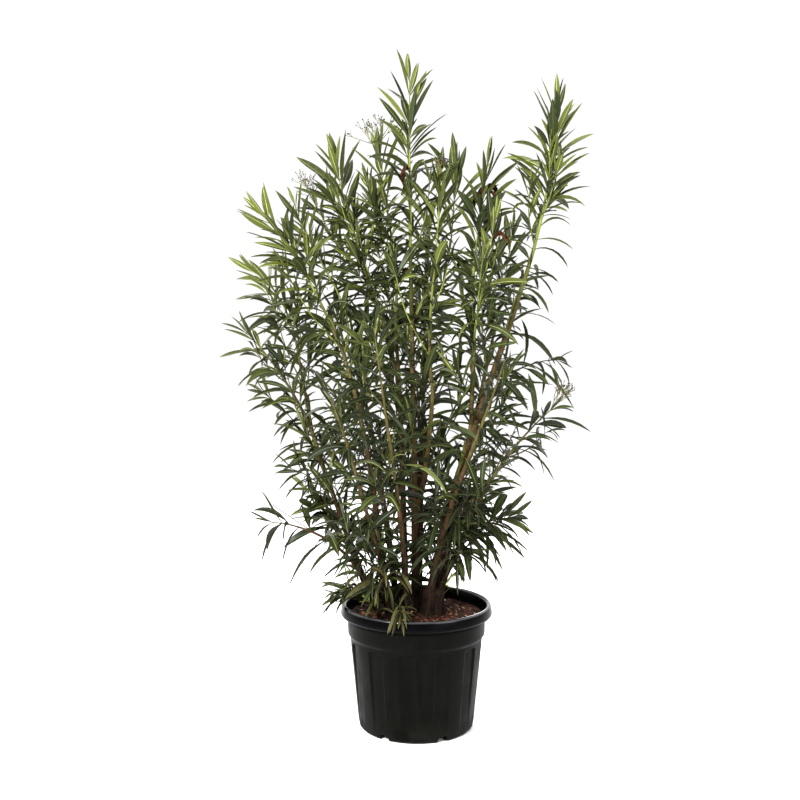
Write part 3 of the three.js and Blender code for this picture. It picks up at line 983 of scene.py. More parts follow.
def sprigs(leaves, rng, shoot, size, age, habit):
    """Short leafy side shoots on bare wood: all the way down at the plant's edge, high up in its middle."""
    foot = np.hypot(*shoot.line.points[0, :2])
    start = INNER_BARE + (OUTER_BARE - INNER_BARE) * ease(foot, INNER_FOOT, OUTER_FOOT)
    if habit.bare is not None:
        start = habit.bare
    at = FORK_BARE if shoot.parent else shoot.at_height(start)
    while at < shoot.bare:
        turn, lean = rng.uniform(0, 2 * np.pi), rng.uniform(0.6, 1.1)
        line = side_line(shoot.line, at, turn, rng.uniform(0.07, 0.19), lean)
        twig_lines.append((line, SPRIG_GIRTH, 1))
        leafy = line.length * SIDE_LEAFY
        leaf_out(leaves, rng, line, leafy, size * SPRIG_SIZE, max(age, SPRIG_AGE), SPRIG_SHADE, habit)
        at += SPRIG_GAP * rng.uniform(0.6, 1.4)


for shoot in SHOOTS.values():
    grow(shoot)
print(len(twig_lines), "twigs so far")

# %% [markdown]
# ## Low down between the stems
# Two things are left where light is poor: thin bare twigs that have died, and a few small sprays of old
# leaves that hang or hide near the soil. Both are the same side shoot again, so tables say where they go.

# %% Dead twigs
DEAD_HEIGHTS = (0.02, 0.24)  # above the soil
DEAD_GIRTH = 1.5 * MM
DEAD_COUNTS = {"front_left": 3, "left": 3, "front": 3, "back_left": 2, "low_left": 2, "right_low": 2}


def dead_twigs(shoot, count):
    """Thin bare twigs that died in the shade between the stems."""
    rng = np.random.default_rng(shoot.seed + 2)
    for height in rng.uniform(*DEAD_HEIGHTS, count):
        turn, reach, lean = rng.uniform(0, 2 * np.pi), rng.uniform(0.05, 0.16), rng.uniform(0.4, 0.8)
        line = side_line(shoot.line, shoot.at_height(height), turn, reach, lean)
        twig_lines.append((line, DEAD_GIRTH, 1))


for name, count in DEAD_COUNTS.items():
    dead_twigs(SHOOTS[name], count)
print(sum(DEAD_COUNTS.values()), "dead twigs")

# %% Low sprays
SPRAY_GIRTH = 1.6 * MM
SPRAY_REACH, SPRAY_LEAN, SPRAY_LEAFY = 50 * MM, 1.1, 30 * MM
DROOPING = Habit(size=0.1, loss=0.0, ripe=0.1, slim=1.15, droop=3.0, faded=True)  # over the pot's lip
SHELTERED = Habit(size=0.11, loss=0.0, ripe=0.2, shade=2.0)  # leaves behind the stems, tinted dark as painted shade
HANGING = Habit(size=0.115, loss=0.0, ripe=0.3, shade=3.0, slim=0.75, droop=2.0)  # narrow, tinted dark as painted shade
LOW_SPRAYS = [  # the stem, the height above the soil, the way it faces and its habit
    ("front_left", 0.11, (0.1, -1, 0), DROOPING),
    ("left", 0.09, (0.1, -1, 0), DROOPING),
    ("back_right", 0.13, (-1, -0.3, 0), SHELTERED),
    ("back_right", 0.2, (-1, 0.3, 0), SHELTERED),
    ("low_right", 0.15, (-0.2, -1, 0), HANGING),
]


def low_spray(shoot, height, facing, habit):
    """A short spray of leaves low on a stem, on the side that it has to face."""
    rng = np.random.default_rng(shoot.seed + 5)
    at = shoot.at_height(height)
    line = side_line(shoot.line, at, shoot.line.turn_to(at, facing), SPRAY_REACH, SPRAY_LEAN)
    twig_lines.append((line, SPRAY_GIRTH, 1))
    leaves = foliage["rim" if habit.faded else shoot.name]  # faded ones lie over the lip, so join its shoot
    leaf_out(leaves, rng, line, SPRAY_LEAFY, habit.size, 1, habit.shade, habit)


for name, height, facing, habit in LOW_SPRAYS:
    low_spray(SHOOTS[name], height, facing, habit)
print(len(twig_lines), "twigs,", sum(len(leaves.column("length")) for leaves in foliage.values()), "leaves")

# %% [markdown]
# ## One leaf, many times
# An oleander leaf is a narrow blade with a pale rib, folded a little along it, with a ridge below. Each
# leaf here has eight cross-sections of six corners: two margins, two sides of the rib and two of the ridge.
# Its line starts at the leaf's angle and bends outward and down, and the cross-sections stand across it.
# Arrays make all leaves at once. The colours are plain ones given face by face, because those keep their
# places when the part is exported.

# %% The line of every leaf
STATIONS = np.array([0, 0.05, 0.16, 0.3, 0.45, 0.6, 0.75, 0.89])  # where the cross-sections are, as shares


def midribs(leaves):
    """Points along every leaf's rib, with its width direction and its upper side at each."""
    base, run, out = leaves.column("base"), leaves.column("run"), leaves.column("out")
    lift, length = leaves.column("lift")[:, None], leaves.column("length")
    ends = np.r_[STATIONS, 1]
    middles = (ends[:-1] + ends[1:]) / 2
    first = run * np.cos(lift) + out * np.sin(lift)
    outward = out * np.cos(lift) - run * np.sin(lift)

    def heading(share):
        bend = outward[:, None] * (leaves.column("curl")[:, None] * share)[..., None]
        fall = UP * (leaves.column("sag")[:, None] * share**1.2)[..., None]
        return unit(first[:, None] + bend - fall)

    steps = heading(middles) * (np.diff(ends)[:, None] * length[:, None, None])
    points = base[:, None] + np.concatenate([np.zeros_like(steps[:, :1]), np.cumsum(steps, axis=1)], axis=1)
    ways = heading(ends)
    sideways = np.broadcast_to(np.cross(run, out)[:, None], ways.shape)
    sideways = unit(sideways - ways * (sideways * ways).sum(-1, keepdims=True))
    upper = np.cross(ways, sideways)
    roll = (leaves.column("roll")[:, None] + leaves.column("twist")[:, None] * ends)[..., None]
    turned = sideways * np.cos(roll) + upper * np.sin(roll)
    return points, turned, upper * np.cos(roll) - sideways * np.sin(roll)


# %% The blade about its line
PETIOLE = 0.13  # half-width of the stalk, as a share of the blade's
blade = (1 - np.exp(-((STATIONS / 0.29) ** 1.7))) * (1 - STATIONS**4)
HALF_WIDTHS = np.maximum(blade / blade.max(), PETIOLE)
KEEL = 1.3 * MM * (1 - 0.75 * STATIONS)
SECTION = 6  # corners: left margin, two sides of the rib, right margin, two sides of the ridge below
FACE_KINDS = (0, 1, 0, 2, 1, 2)  # blade, rib, blade, underside, ridge, underside
print("a leaf's half-widths, as shares:", HALF_WIDTHS.round(2))


def leaf_meshes(pile, leaves, finish_table):
    """Adds every leaf. finish_table has a row for each tint: the finishes of blade, rib and underside."""
    points, sideways, upper = midribs(leaves)
    tips, points, sideways, upper = points[:, -1], points[:, :-1], sideways[:, :-1], upper[:, :-1]
    half = (leaves.column("width")[:, None] / 2 * HALF_WIDTHS)[..., None]
    raised = upper * half * np.tan(leaves.column("fold"))[:, None, None]
    rib = sideways * (0.06 * half + 0.4 * MM)
    keel = points - upper * KEEL[:, None]
    rings = np.stack([
        points - sideways * half + raised,
        points - rib,
        points + rib,
        points + sideways * half + raised,
        keel + 0.7 * rib,
        keel - 0.7 * rib,
    ], axis=2)
    count, stations = rings.shape[:2]
    corners = np.concatenate([rings.reshape(count, -1, 3), tips[:, None]], axis=1)
    side = np.arange(SECTION)
    quads = ring_faces(stations, SECTION)[:, ::-1]
    last, tip = (stations - 1) * SECTION, np.full(SECTION, stations * SECTION)
    tip_faces = np.stack([last + (side + 1) % SECTION, last + side, tip], -1)
    finish = finish_table[leaves.column("tint")][:, FACE_KINDS]
    pile.add(
        corners.reshape(-1, 3),
        [for_each(count, corners.shape[1], faces) for faces in (quads, tip_faces, side[None])],
        [np.tile(finish, (1, stations - 1)).ravel(), finish.ravel(), finish[:, 3]],
    )


# %% [markdown]
# ## Room for the leaves
# Leaves drawn by chance would sometimes cut through the pot's lip or the soil, which no real leaf does.
# Those few are left out. Others would reach too far past the plain model, and a shorter leaf is all that
# they need.

# %% Keeping leaves out of the pot and inside the model's box
POT_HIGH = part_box("pot")[1]
LIP_RADIUS, POT_TOP = POT_HIGH.x, POT_HIGH.z
LIP_INSIDE = LIP_RADIUS - 22 * MM
CLEAR = 2 * MM
BOX_LOW, BOX_HIGH = np.array(CAD_BOX)
OVERHANG = 0.025 * (BOX_HIGH - BOX_LOW) + 8 * MM
SHORTENINGS, SHORTER = 5, 0.8  # how often a leaf may be shortened, and to what share each time


def fit(leaves):
    """Shortens leaves that reach out of the model's box, and drops those that cut the pot or the soil."""
    columns = leaves.merge()
    for _ in range(SHORTENINGS):
        points, _, _ = midribs(leaves)
        outside = ((points < BOX_LOW - OVERHANG) | (points > BOX_HIGH + OVERHANG)).any(axis=(1, 2))
        columns["length"][outside] *= SHORTER
    reach = np.hypot(points[..., 0], points[..., 1])
    height = points[..., 2]
    in_lip = (height < POT_TOP + CLEAR) & (reach < LIP_RADIUS + CLEAR) & (reach > LIP_INSIDE - CLEAR)
    in_soil = (height < SOIL_TOP + CLEAR) & (reach < LIP_RADIUS + CLEAR)
    leaves.keep(~(in_lip | in_soil)[:, 1:].any(axis=1) & ~outside)


for leaves in foliage.values():
    fit(leaves)
print(sum(len(leaves.column("length")) for leaves in foliage.values()), "leaves have room")

# %% [markdown]
# ## Leaf colours
# The upper side of an oleander leaf is leathery and deep green, the rib is pale, and the underside is a
# dull grey-green. Young leaves are yellow-green. A spray's leaves lie around one of six tints, from fresh
# to deep, with a seventh for faded ones, and the rib and underside follow the tint. The deep tints serve
# both for old leaves and for painted shade on sprays low in and inside the plant. Every finish is one
# plain colour with the soft gloss of a waxy leaf, because the sprays already give the pattern.

# %% Leaf colours
BLADES = [
    (70, 75, 22), (56, 62, 19), (43, 48, 15), (34, 40, 13),
    (27, 33, 11), (21, 26, 9), (51, 49, 22),
]
RIBS = [
    (150, 156, 96), (132, 138, 86), (108, 116, 68), (83, 93, 52),
    (63, 73, 41), (51, 60, 34), (76, 72, 40),
]
UNDERSIDES = [
    (80, 87, 36), (66, 73, 31), (54, 61, 26), (45, 52, 22),
    (38, 45, 19), (32, 38, 16), (58, 55, 28),
]
GLOSS = np.linspace(0.24, 0.1, TINTS + 1)  # young leaves are the shiniest


def plain_finishes(name, colours, **constants):
    """A finish of one plain colour for each value in the list."""
    names = [f"{name} {i + 1}" for i in range(len(colours))]
    return [Finish(name, Base_Color=colour(*value), **constants) for name, value in zip(names, colours)]


blade_finishes = plain_finishes("leaf blade", BLADES, Roughness=0.37)
for finish, gloss in zip(blade_finishes, GLOSS):
    finish.set(Specular_IOR_Level=float(gloss))
rib_finishes = plain_finishes("leaf rib", RIBS, Roughness=0.5, Specular_IOR_Level=0.3)
under_finishes = plain_finishes("leaf underside", UNDERSIDES, Roughness=0.6, Specular_IOR_Level=0.15)
leaf_finishes = blade_finishes + rib_finishes + under_finishes
# A row for each tint, with the numbers of its three finishes in the list.
LEAF_TABLE = np.arange(len(leaf_finishes)).reshape(3, TINTS + 1).T
print(len(leaf_finishes), "leaf finishes")

# %% [markdown]
# ## Foliage by side
# The leaves are joined into five pieces, by the part of the plant that their stem stands in. Each piece
# stands for the plain masses of its own stems, so nothing plain is left showing, and each stays small
# enough to export.

# %% Foliage by side
SIDES = {
    "middle": ("crest", "mate"),
    "right": ("right", "right_low", "low_right"),
    "left": ("left_high", "left", "low_left"),
    "front": ("front", "front_left", "front_right", "rim"),
    "back": ("back_left", "back", "back_right"),
}
LEAF_SHARP_ABOVE = math.radians(18)  # keeps the fold at the rib crisp
for side, families in SIDES.items():
    pile = Pile()
    members = [shoot for shoot in SHOOTS.values() if shoot.family in families]
    for shoot in members:
        leaf_meshes(pile, foliage[shoot.name], LEAF_TABLE)
    masses = [shoot.mass for shoot in members]
    add_piece(f"leaves_{side}", pile, leaf_finishes, masses, sharp=LEAF_SHARP_ABOVE)

# %% [markdown]
# ## Sprouts and dry leaves
# Two small things make a plant look lived in. Short pale sprouts break from the oldest stems near the soil,
# each a rosette of small young leaves. And a few leaves have dried where they sit, red-brown and rolled in
# on themselves. Both are the same leaf with other numbers, so they take only a table of places.

# %% Sprouts
SPROUTS = {  # heights above the soil on each stem
    "low_left": (0.045, 0.085, 0.13),
    "left": (0.06,),
    "left_high": (0.1,),
    "low_right": (0.07,),
}
SPROUT = Habit(slim=1.7, droop=0.3, loss=0.0)
SPROUT_GIRTH, SPROUT_LEAFY, SPROUT_SIZE = 1.3 * MM, 14 * MM, 26 * MM
SPROUT_LEAN, SPROUT_AGE = 1.0, 1.2
SPROUT_TINTS = [(112, 122, 50), (92, 102, 40)]


def sprouts():
    made = Foliage()
    for name, heights in SPROUTS.items():
        shoot = SHOOTS[name]
        rng = np.random.default_rng(shoot.seed + 3)
        for height in heights:
            at = shoot.at_height(height)
            outward = shoot.line.points[0] * (1, 1, 0)
            turn = shoot.line.turn_to(at, outward) + rng.normal(0, 0.4)
            line = side_line(shoot.line, at, turn, rng.uniform(0.03, 0.06), SPROUT_LEAN)
            twig_lines.append((line, SPROUT_GIRTH, 0))
            leaf_out(made, rng, line, SPROUT_LEAFY, SPROUT_SIZE, SPROUT_AGE, 0, SPROUT)
    columns = made.merge()
    columns["tint"] = np.minimum(columns["tint"], len(SPROUT_TINTS) - 1)
    return made


pile = Pile()
leaf_meshes(pile, sprouts(), np.array([[0, 0, 0], [1, 0, 1]]))  # both tints share the paler rib
sprout_finishes = plain_finishes("sprout", SPROUT_TINTS, Roughness=0.5, Specular_IOR_Level=0.2)
add_piece("sprouts", pile, sprout_finishes)

# %% Dry leaves
DRIED = {  # how far below each shoot's tip they are, and how many
    "crest": (0.235, 3),
    "right_inner": (0.075, 4),
    "right_inner_tip": (0.05, 2),
    "mate": (0.3, 2),
}
DRY_TINTS = [(50, 28, 15), (34, 21, 13), (74, 50, 28)]  # the blade, the same in shade, and the rib
DRY_WIDTH = 0.2  # as a share of the length


def dry_leaves():
    """A few leaves on each shoot in the table, so far below its tip."""
    made = Foliage()
    for name, (below, count) in DRIED.items():
        rng = np.random.default_rng(SHOOTS[name].seed + 4)
        line = SHOOTS[name].line
        at = line.length - below + rng.normal(0, 12 * MM, count)
        turn = rng.uniform(0, 2 * np.pi, count)
        length = rng.uniform(45, 75, count) * MM
        made.add(
            base=line.point(at),
            run=line.heading(at),
            out=line.around(at, turn),
            lift=rng.uniform(0.5, 1.1, count),
            length=length,
            width=length * DRY_WIDTH,
            sag=rng.uniform(0.5, 3.5, count),
            curl=rng.normal(0, 1.2, count),
            roll=rng.normal(0, 0.8, count),
            twist=rng.normal(0, 2.2, count),
            fold=rng.uniform(0.7, 1.1, count),
            tint=rng.integers(0, 2, count),
        )
    return made


pile = Pile()
leaf_meshes(pile, dry_leaves(), np.array([[0, 2, 0], [1, 2, 0]]))  # one rib and underside for both
dry_finishes = plain_finishes("dry leaf", DRY_TINTS, Roughness=0.8, Specular_IOR_Level=0.05)
add_piece("dry_leaves", pile, dry_finishes)

# %% [markdown]
# ## Twigs
# The side shoots that carry the leaves are thin green tubes, a little browner low on the plant. They are
# one piece, in four plain tints chosen for each twig by its age.

# %% Twigs
TWIG_TINTS = [(104, 113, 48), (86, 93, 41), (64, 62, 33), (44, 32, 22)]
TWIG_SIDES, TWIG_TIP = 6, 1.0 * MM

pile = Pile()
for line, girth, age in twig_lines:
    corners, faces = tube(line, np.interp(line.at, [0, line.length], [girth, TWIG_TIP]), TWIG_SIDES)
    pile.add(corners, faces, min(int(age * len(TWIG_TINTS)), len(TWIG_TINTS) - 1))
add_piece("twigs", pile, plain_finishes("twig", TWIG_TINTS, Roughness=0.6, Specular_IOR_Level=0.2))

# %% [markdown]
# ## The pot
# A nursery pot is thin black plastic, moulded with upright panels that stand out and sink in turn, so that
# the wall is stiff. The panels end in shallow arches under a smooth collar, and a thick lip goes round the
# top. The wall's outline comes from the plain pot. Columns crowd at the panels' edges, where the surface
# bends most.

# %% Reading the pot's outline
SAME_HEIGHT = 0.2 * MM
pot_corners, _ = solid("pot")
pot_reach = np.hypot(pot_corners[:, 0], pot_corners[:, 1])


def reach_at(height, pick):
    """The most or least distance from the axis among the pot's corners at a height."""
    return pick(pot_reach[abs(pot_corners[:, 2] - height) < SAME_HEIGHT])


turns = np.unique(np.round(pot_corners[:, 2], 4))
outline = np.array([[height, reach_at(height, np.max)] for height in turns])
print("the plain pot turns at", [f"{z * 1000:.0f}: {r * 1000:.0f} mm" for z, r in outline])

# %% Rounded outlines
def rounded(points, corner, step):
    """A polyline in (radius, height) with its corners cut round and its long legs divided."""
    points = np.asarray(points)
    made = [points[0]]

    def divide_to(end):
        legs = max(1, round(np.linalg.norm(end - made[-1]) / step))
        made.extend([made[-1] + (end - made[-1]) * (i + 1) / legs for i in range(legs)])

    for before, here, after in zip(points, points[1:], points[2:]):
        into, out_of = here - before, after - here
        near = min(corner, 0.4 * np.linalg.norm(into), 0.4 * np.linalg.norm(out_of))
        start, end = here - near * unit(into), here + near * unit(out_of)
        divide_to(start)
        for share in (1 / 3, 2 / 3, 1):
            made.append((1 - share) ** 2 * start + 2 * share * (1 - share) * here + share**2 * end)
    divide_to(points[-1])
    return np.array(made)


# %% The pot's section
WALL = 3.5 * MM
FLOOR_RISE = 8 * MM  # how far the floor stands above the ground inside the foot ring
FOOT_RING = 6 * MM
AXIS_GAP = 5 * MM  # how near the axis the floor's rings end
ABOVE_NOTCHES = 15 * MM  # the ribs' foot is the wall's first turn above this
UPPER_WALL = 200 * MM  # and the collar's foot is its second turn above this
CORNER, STEP = 2.6 * MM, 9 * MM
TRIM = (5, 5, 14, 9, 5, 0, 0)  # mm that the collar's and the lip's edges stand above the plain pot's

plain_lip, _, lip_round, _ = turns[-4:]  # the lip's foot, widest place, where its top starts to round, top
collar_foot = turns[turns > UPPER_WALL][1]
rib_foot = turns[turns > ABOVE_NOTCHES][0]
floor_top = FLOOR_RISE + WALL
foot_radius = outline[0, 1]
inner = [
    (reach_at(lip_round, np.min), lip_round),
    (reach_at(plain_lip, np.min), plain_lip),
    (reach_at(collar_foot, np.min), collar_foot),
    (outline[2, 1] - 2 * WALL, floor_top),
]
under = [(AXIS_GAP, FLOOR_RISE), (foot_radius - 2 * FOOT_RING, FLOOR_RISE), (foot_radius - FOOT_RING, 0)]
outline[-len(TRIM):, 0] += np.array(TRIM) * MM
collar_ledge, lip_foot, lip_top = outline[-7, 0], outline[-4, 0], outline[-1, 0]
panel_top = collar_ledge - 3 * MM
section = rounded(under + [(r, z) for z, r in outline] + inner + [(AXIS_GAP, floor_top)], CORNER, STEP)
print(len(section), "rings in the pot; its ribs run from", rib_foot, "to", panel_top)

# %% Ribs
PANELS = 24
PANEL_COLUMNS = 12
RIB_DEPTH = (0.6 * MM, 5.4 * MM)  # at the ribs' foot and at their top
PANEL_EDGE = (0.84, 1.05)  # where the wall rises from a sunk panel, as shares from its middle to its edge
ARCH = 6 * MM
ARCH_ROWS = 13


def rib_rows(section):
    """More rings where the panels' arched tops need them."""
    top = np.linspace(panel_top - 3.2 * ARCH, panel_top, ARCH_ROWS)
    off_wall = abs(section[:, 0] - np.interp(section[:, 1], *outline.T))
    wall = np.flatnonzero(off_wall < 0.1 * MM)
    first = next(i for i in wall if section[i, 1] > top[0])
    last = next(i for i in wall if section[i, 1] > top[-1])
    added = np.stack([np.interp(top, *outline.T), top], -1)
    return np.vstack([section[:first], added, section[last:]])


def sunk(turn, section):
    """How deep the wall is pressed in at each ring and column."""
    panel = (turn / (2 * np.pi) * PANELS) % 2
    from_middle = abs(panel - 1.5) * 2
    across = 1 - ease(from_middle, *PANEL_EDGE)
    height = section[:, 1][:, None]
    arch_top = panel_top - ARCH * (0.6 + np.clip(from_middle, 0, 1) ** 2)
    below_arch = 1 - ease(height, arch_top - 3 * MM, arch_top + 0.5 * MM)
    above_foot = ease(height, rib_foot - 12 * MM, rib_foot + 6 * MM)
    depth = np.interp(height, [rib_foot, panel_top], RIB_DEPTH)
    on_wall = (section[:, 0] > np.interp(section[:, 1], *outline.T) - SAME_HEIGHT)[:, None]
    return across * below_arch * above_foot * depth * on_wall


ribbed = rib_rows(section)
column = np.arange(PANEL_COLUMNS) / PANEL_COLUMNS
crowded = (1 - np.cos(np.pi * column)) / 2
turn = ((np.arange(PANELS)[:, None] + crowded).ravel() / PANELS * 2 * np.pi)[None]
rings = polar(ribbed[:, :1] - sunk(turn, ribbed), turn, ribbed[:, 1:])
pot_pile = Pile()
pot_pile.add(rings.reshape(-1, 3), closed_faces(*rings.shape[:2]))
print(rings.shape[0], "rings of", rings.shape[1], "corners in the ribbed pot")

# %% [markdown]
# ## Black plastic
# Moulded polypropylene is a satin near-black. Its gloss is uneven: dull where dust and dried water lie,
# sharper on the lip, where hands polish it. The finish keeps one dark colour, lifts it a little with dust
# near the foot and in faint upright flow marks, and bends the surface by a few tenths of a millimetre.

# %% Pot finish
def plastic_finish():
    finish = Finish("satin black plastic", Specular_IOR_Level=0.04, Coat_Roughness=0.18, Coat_IOR=2.0)
    height = finish.height()
    grain = finish.noise(900, 3)
    clouds = finish.noise(16, 4, 0.6)
    flow = finish.noise(42, 4, 0.6, stretch=(1, 1, 0.06))
    low_dust = height.ramp(0.0, 0.07, 1, 0) * clouds.ramp(0.35, 0.65)
    film = (clouds * 0.5 + flow * 0.5).ramp(0.42, 0.66)
    lip = height.ramp(lip_foot - 4 * MM, lip_foot + 4 * MM)
    edge = height.ramp(lip_top - 7 * MM, lip_top - 3 * MM)
    tuck_foot = height.ramp(lip_foot - 12 * MM, lip_foot - 6 * MM)
    tucks = tuck_foot - height.ramp(lip_foot + 1 * MM, lip_foot + 5 * MM)

    black = finish.blend(film * 0.6, colour(2, 2, 1), colour(9, 10, 6))
    black = finish.blend(lip, black, colour(1, 1, 2))
    finish.set(Base_Color=finish.blend(low_dust * 0.35, black, colour(30, 29, 24)))
    rough = 0.4 + film * 0.2 - lip * 0.22 + low_dust * 0.2 + tucks * 0.4
    finish.set(Roughness=rough + (grain - 0.5) * 0.05)
    finish.set(Coat_Weight=edge)
    return finish.bump(grain * (0.3 - 0.24 * lip) + flow * 0.7, 0.4 * MM)


pot = add_piece("pot_shell", pot_pile, [plastic_finish()], ["pot"])

# %% [markdown]
# ## Drainage notches
# Slots through the foot ring let water out. They are cut where the plain pot has them, with rounded blocks
# and the Boolean modifier, which is then applied, so that the mesh itself has them.

# %% Drainage notches
NOTCH_COUNT = 6
NOTCH_WIDTH, NOTCH_HEIGHT, NOTCH_REACH = 27 * MM, 13 * MM, 13 * MM
NOTCH_RISE = 3 * MM  # how much higher the notch's rounded top is than the plain one's
NOTCH_CORNER = 5 * MM
BELOW_GROUND = -10 * MM  # where a cutting block starts, to cut right through the foot


def notch_turn():
    """The first notch's angle: the corners at the notches' top stand in pairs about their middles."""
    at_top = abs(pot_corners[:, 2] - NOTCH_HEIGHT) < SAME_HEIGHT
    top = pot_corners[at_top & (pot_reach > foot_radius)]
    angles = np.arctan2(top[:, 1], top[:, 0])
    return np.angle(np.exp(1j * NOTCH_COUNT * angles).mean()) / NOTCH_COUNT


def notch_block(pile, turn):
    """A block with rounded shoulders, across the foot ring."""
    half, top = NOTCH_WIDTH / 2, NOTCH_HEIGHT + NOTCH_RISE
    shoulder = np.linspace(0, np.pi / 2, 5)
    across, up = NOTCH_CORNER * np.cos(shoulder), NOTCH_CORNER * np.sin(shoulder)
    right = np.stack([half - NOTCH_CORNER + across, top - NOTCH_CORNER + up], -1)
    edge = np.vstack([[half, BELOW_GROUND], right, right[::-1] * (-1, 1), [-half, BELOW_GROUND]])
    out = np.array([math.cos(turn), math.sin(turn), 0])
    side = np.array([-out[1], out[0], 0])
    face = edge[:, :1] * side + edge[:, 1:] * UP
    near, far = face + out * (foot_radius - NOTCH_REACH), face + out * (foot_radius + NOTCH_REACH)
    pile.add(np.vstack([near, far]), closed_faces(2, len(edge)))


def cut_notches(pot):
    pile = Pile()
    for i in range(NOTCH_COUNT):
        notch_block(pile, notch_turn() + i * 2 * math.pi / NOTCH_COUNT)
    cutter = add_piece("cutter", pile, [])
    boolean = pot.modifiers.new("notches", "BOOLEAN")
    boolean.operation = "DIFFERENCE"
    boolean.object = cutter
    boolean.solver = "EXACT"
    shaped = bpy.data.meshes.new_from_object(pot.evaluated_get(bpy.context.evaluated_depsgraph_get()))
    pot.modifiers.clear()
    pot.data = shaped
    bpy.data.objects.remove(cutter)


cut_notches(pot)
print("pot with notches:", len(pot.data.polygons), "faces")

# %% [markdown]
# ## Compost
# The pot holds a loose mix of bark crumbs and coir, red-brown and damp, with pale bits of wood. A displaced
# disc gives its rise and fall, and its finish adds the finest crumbs, too small to be worth any corners.

# %% The compost's surface
SOIL_RINGS, SOIL_SIDES = 44, 132
SOIL_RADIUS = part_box("soil")[1].x - 0.5 * MM
WAVE, HEAP, EDGE_DROP, SOIL_LIFT = 1.6 * MM, 4 * MM, 2 * MM, 2 * MM
HEAP_WIDTH, EDGE_WIDTH = 60 * MM, 30 * MM
CRUMB = 0.8 * MM
EDGE_DEPTH = 12 * MM  # how far its upright edge goes down
WALL_GAP = 1 * MM  # how far it stays off the pot's inside, below that


def soil_height(x, y):
    """The compost's surface: uneven, heaped a little round the stems and sunk at the wall."""
    waves = (
        np.sin(31 * x + 1.0) * np.cos(27 * y + 0.4)
        + 0.7 * np.sin(63 * x - 41 * y)
        + 0.5 * np.cos(97 * y + 55 * x + 2.0)
        + 0.35 * np.sin(190 * x + 1.7) * np.sin(170 * y)
    )
    heap = np.exp(-(((x - STUMP_CORE[0]) ** 2 + (y - STUMP_CORE[1]) ** 2) / HEAP_WIDTH**2))
    edge = ease(np.hypot(x, y), SOIL_RADIUS - EDGE_WIDTH, SOIL_RADIUS)
    return SOIL_TOP + WAVE * waves + HEAP * heap - EDGE_DROP * edge + SOIL_LIFT


def compost():
    """One closed body: rings from the pot's floor up its inside, then over the surface to the middle."""
    rng = np.random.default_rng(7)
    turn = turns_round(SOIL_SIDES)[None]
    radius = SOIL_RADIUS * np.linspace(0.01, 1, SOIL_RINGS)[:, None]
    top = polar(radius, turn, 0.0)
    top[..., 2] = soil_height(top[..., 0], top[..., 1]) + rng.normal(0, CRUMB, top.shape[:2])
    shape = np.array([
        (inner[3][0] - WALL_GAP, floor_top + WALL_GAP),
        (inner[2][0] - WALL_GAP, collar_foot),
        (SOIL_RADIUS, SOIL_TOP - EDGE_DEPTH),
    ])
    rings = np.vstack([polar(shape[:, :1], turn, shape[:, 1:]), top[::-1]])
    pile = Pile()
    pile.add(rings.reshape(-1, 3), closed_faces(*rings.shape[:2]))
    return pile


print("the compost is heaped to", round(float(soil_height(*STUMP_CORE[:2])), 3), "m at the stump")

# %% Compost finish
def soil_finish():
    finish = Finish("damp compost", Specular_IOR_Level=0.06)
    crumbs = finish.noise(420, 6, 0.7)
    patches = finish.noise(38, 3)
    brown = finish.blend(crumbs.ramp(0.4, 0.64), colour(18, 9, 7), colour(64, 37, 26))
    finish.set(Base_Color=finish.blend(patches.ramp(0.4, 0.7) * 0.4, brown, colour(40, 24, 16)))
    finish.set(Roughness=crumbs.ramp(0.3, 0.7, 0.95, 0.75))
    return finish.bump(crumbs, 3 * MM)


add_piece("compost", compost(), [soil_finish()], ["soil"])

# %% [markdown]
# ## Loose chips
# Crumbs that stand out and cast shadows are what the eye reads as soil, so about two thousand loose chips
# of bark lie on the compost. Each is a box with every corner pulled in or out by chance, turned and tipped
# its own way. Arrays make them all at once, in six plain tints.

# %% Loose chips
CHIP_COUNT = 2200
CHIP_TINTS = [(36, 21, 14), (56, 31, 20), (25, 17, 12), (96, 55, 38), (120, 92, 66), (172, 148, 116)]
CHIP_SHARES = (0.24, 0.26, 0.24, 0.17, 0.06, 0.03)  # how many chips in a hundred have each tint
CHIP_MARGIN = 6 * MM  # how far the chips stay off the pot's wall
LEAST_CHIP, CHIP_SCALE = 2 * MM, 1.5 * MM
CHIP_LIFT = 0.25  # how high a chip's middle lies, as a share of its thickness


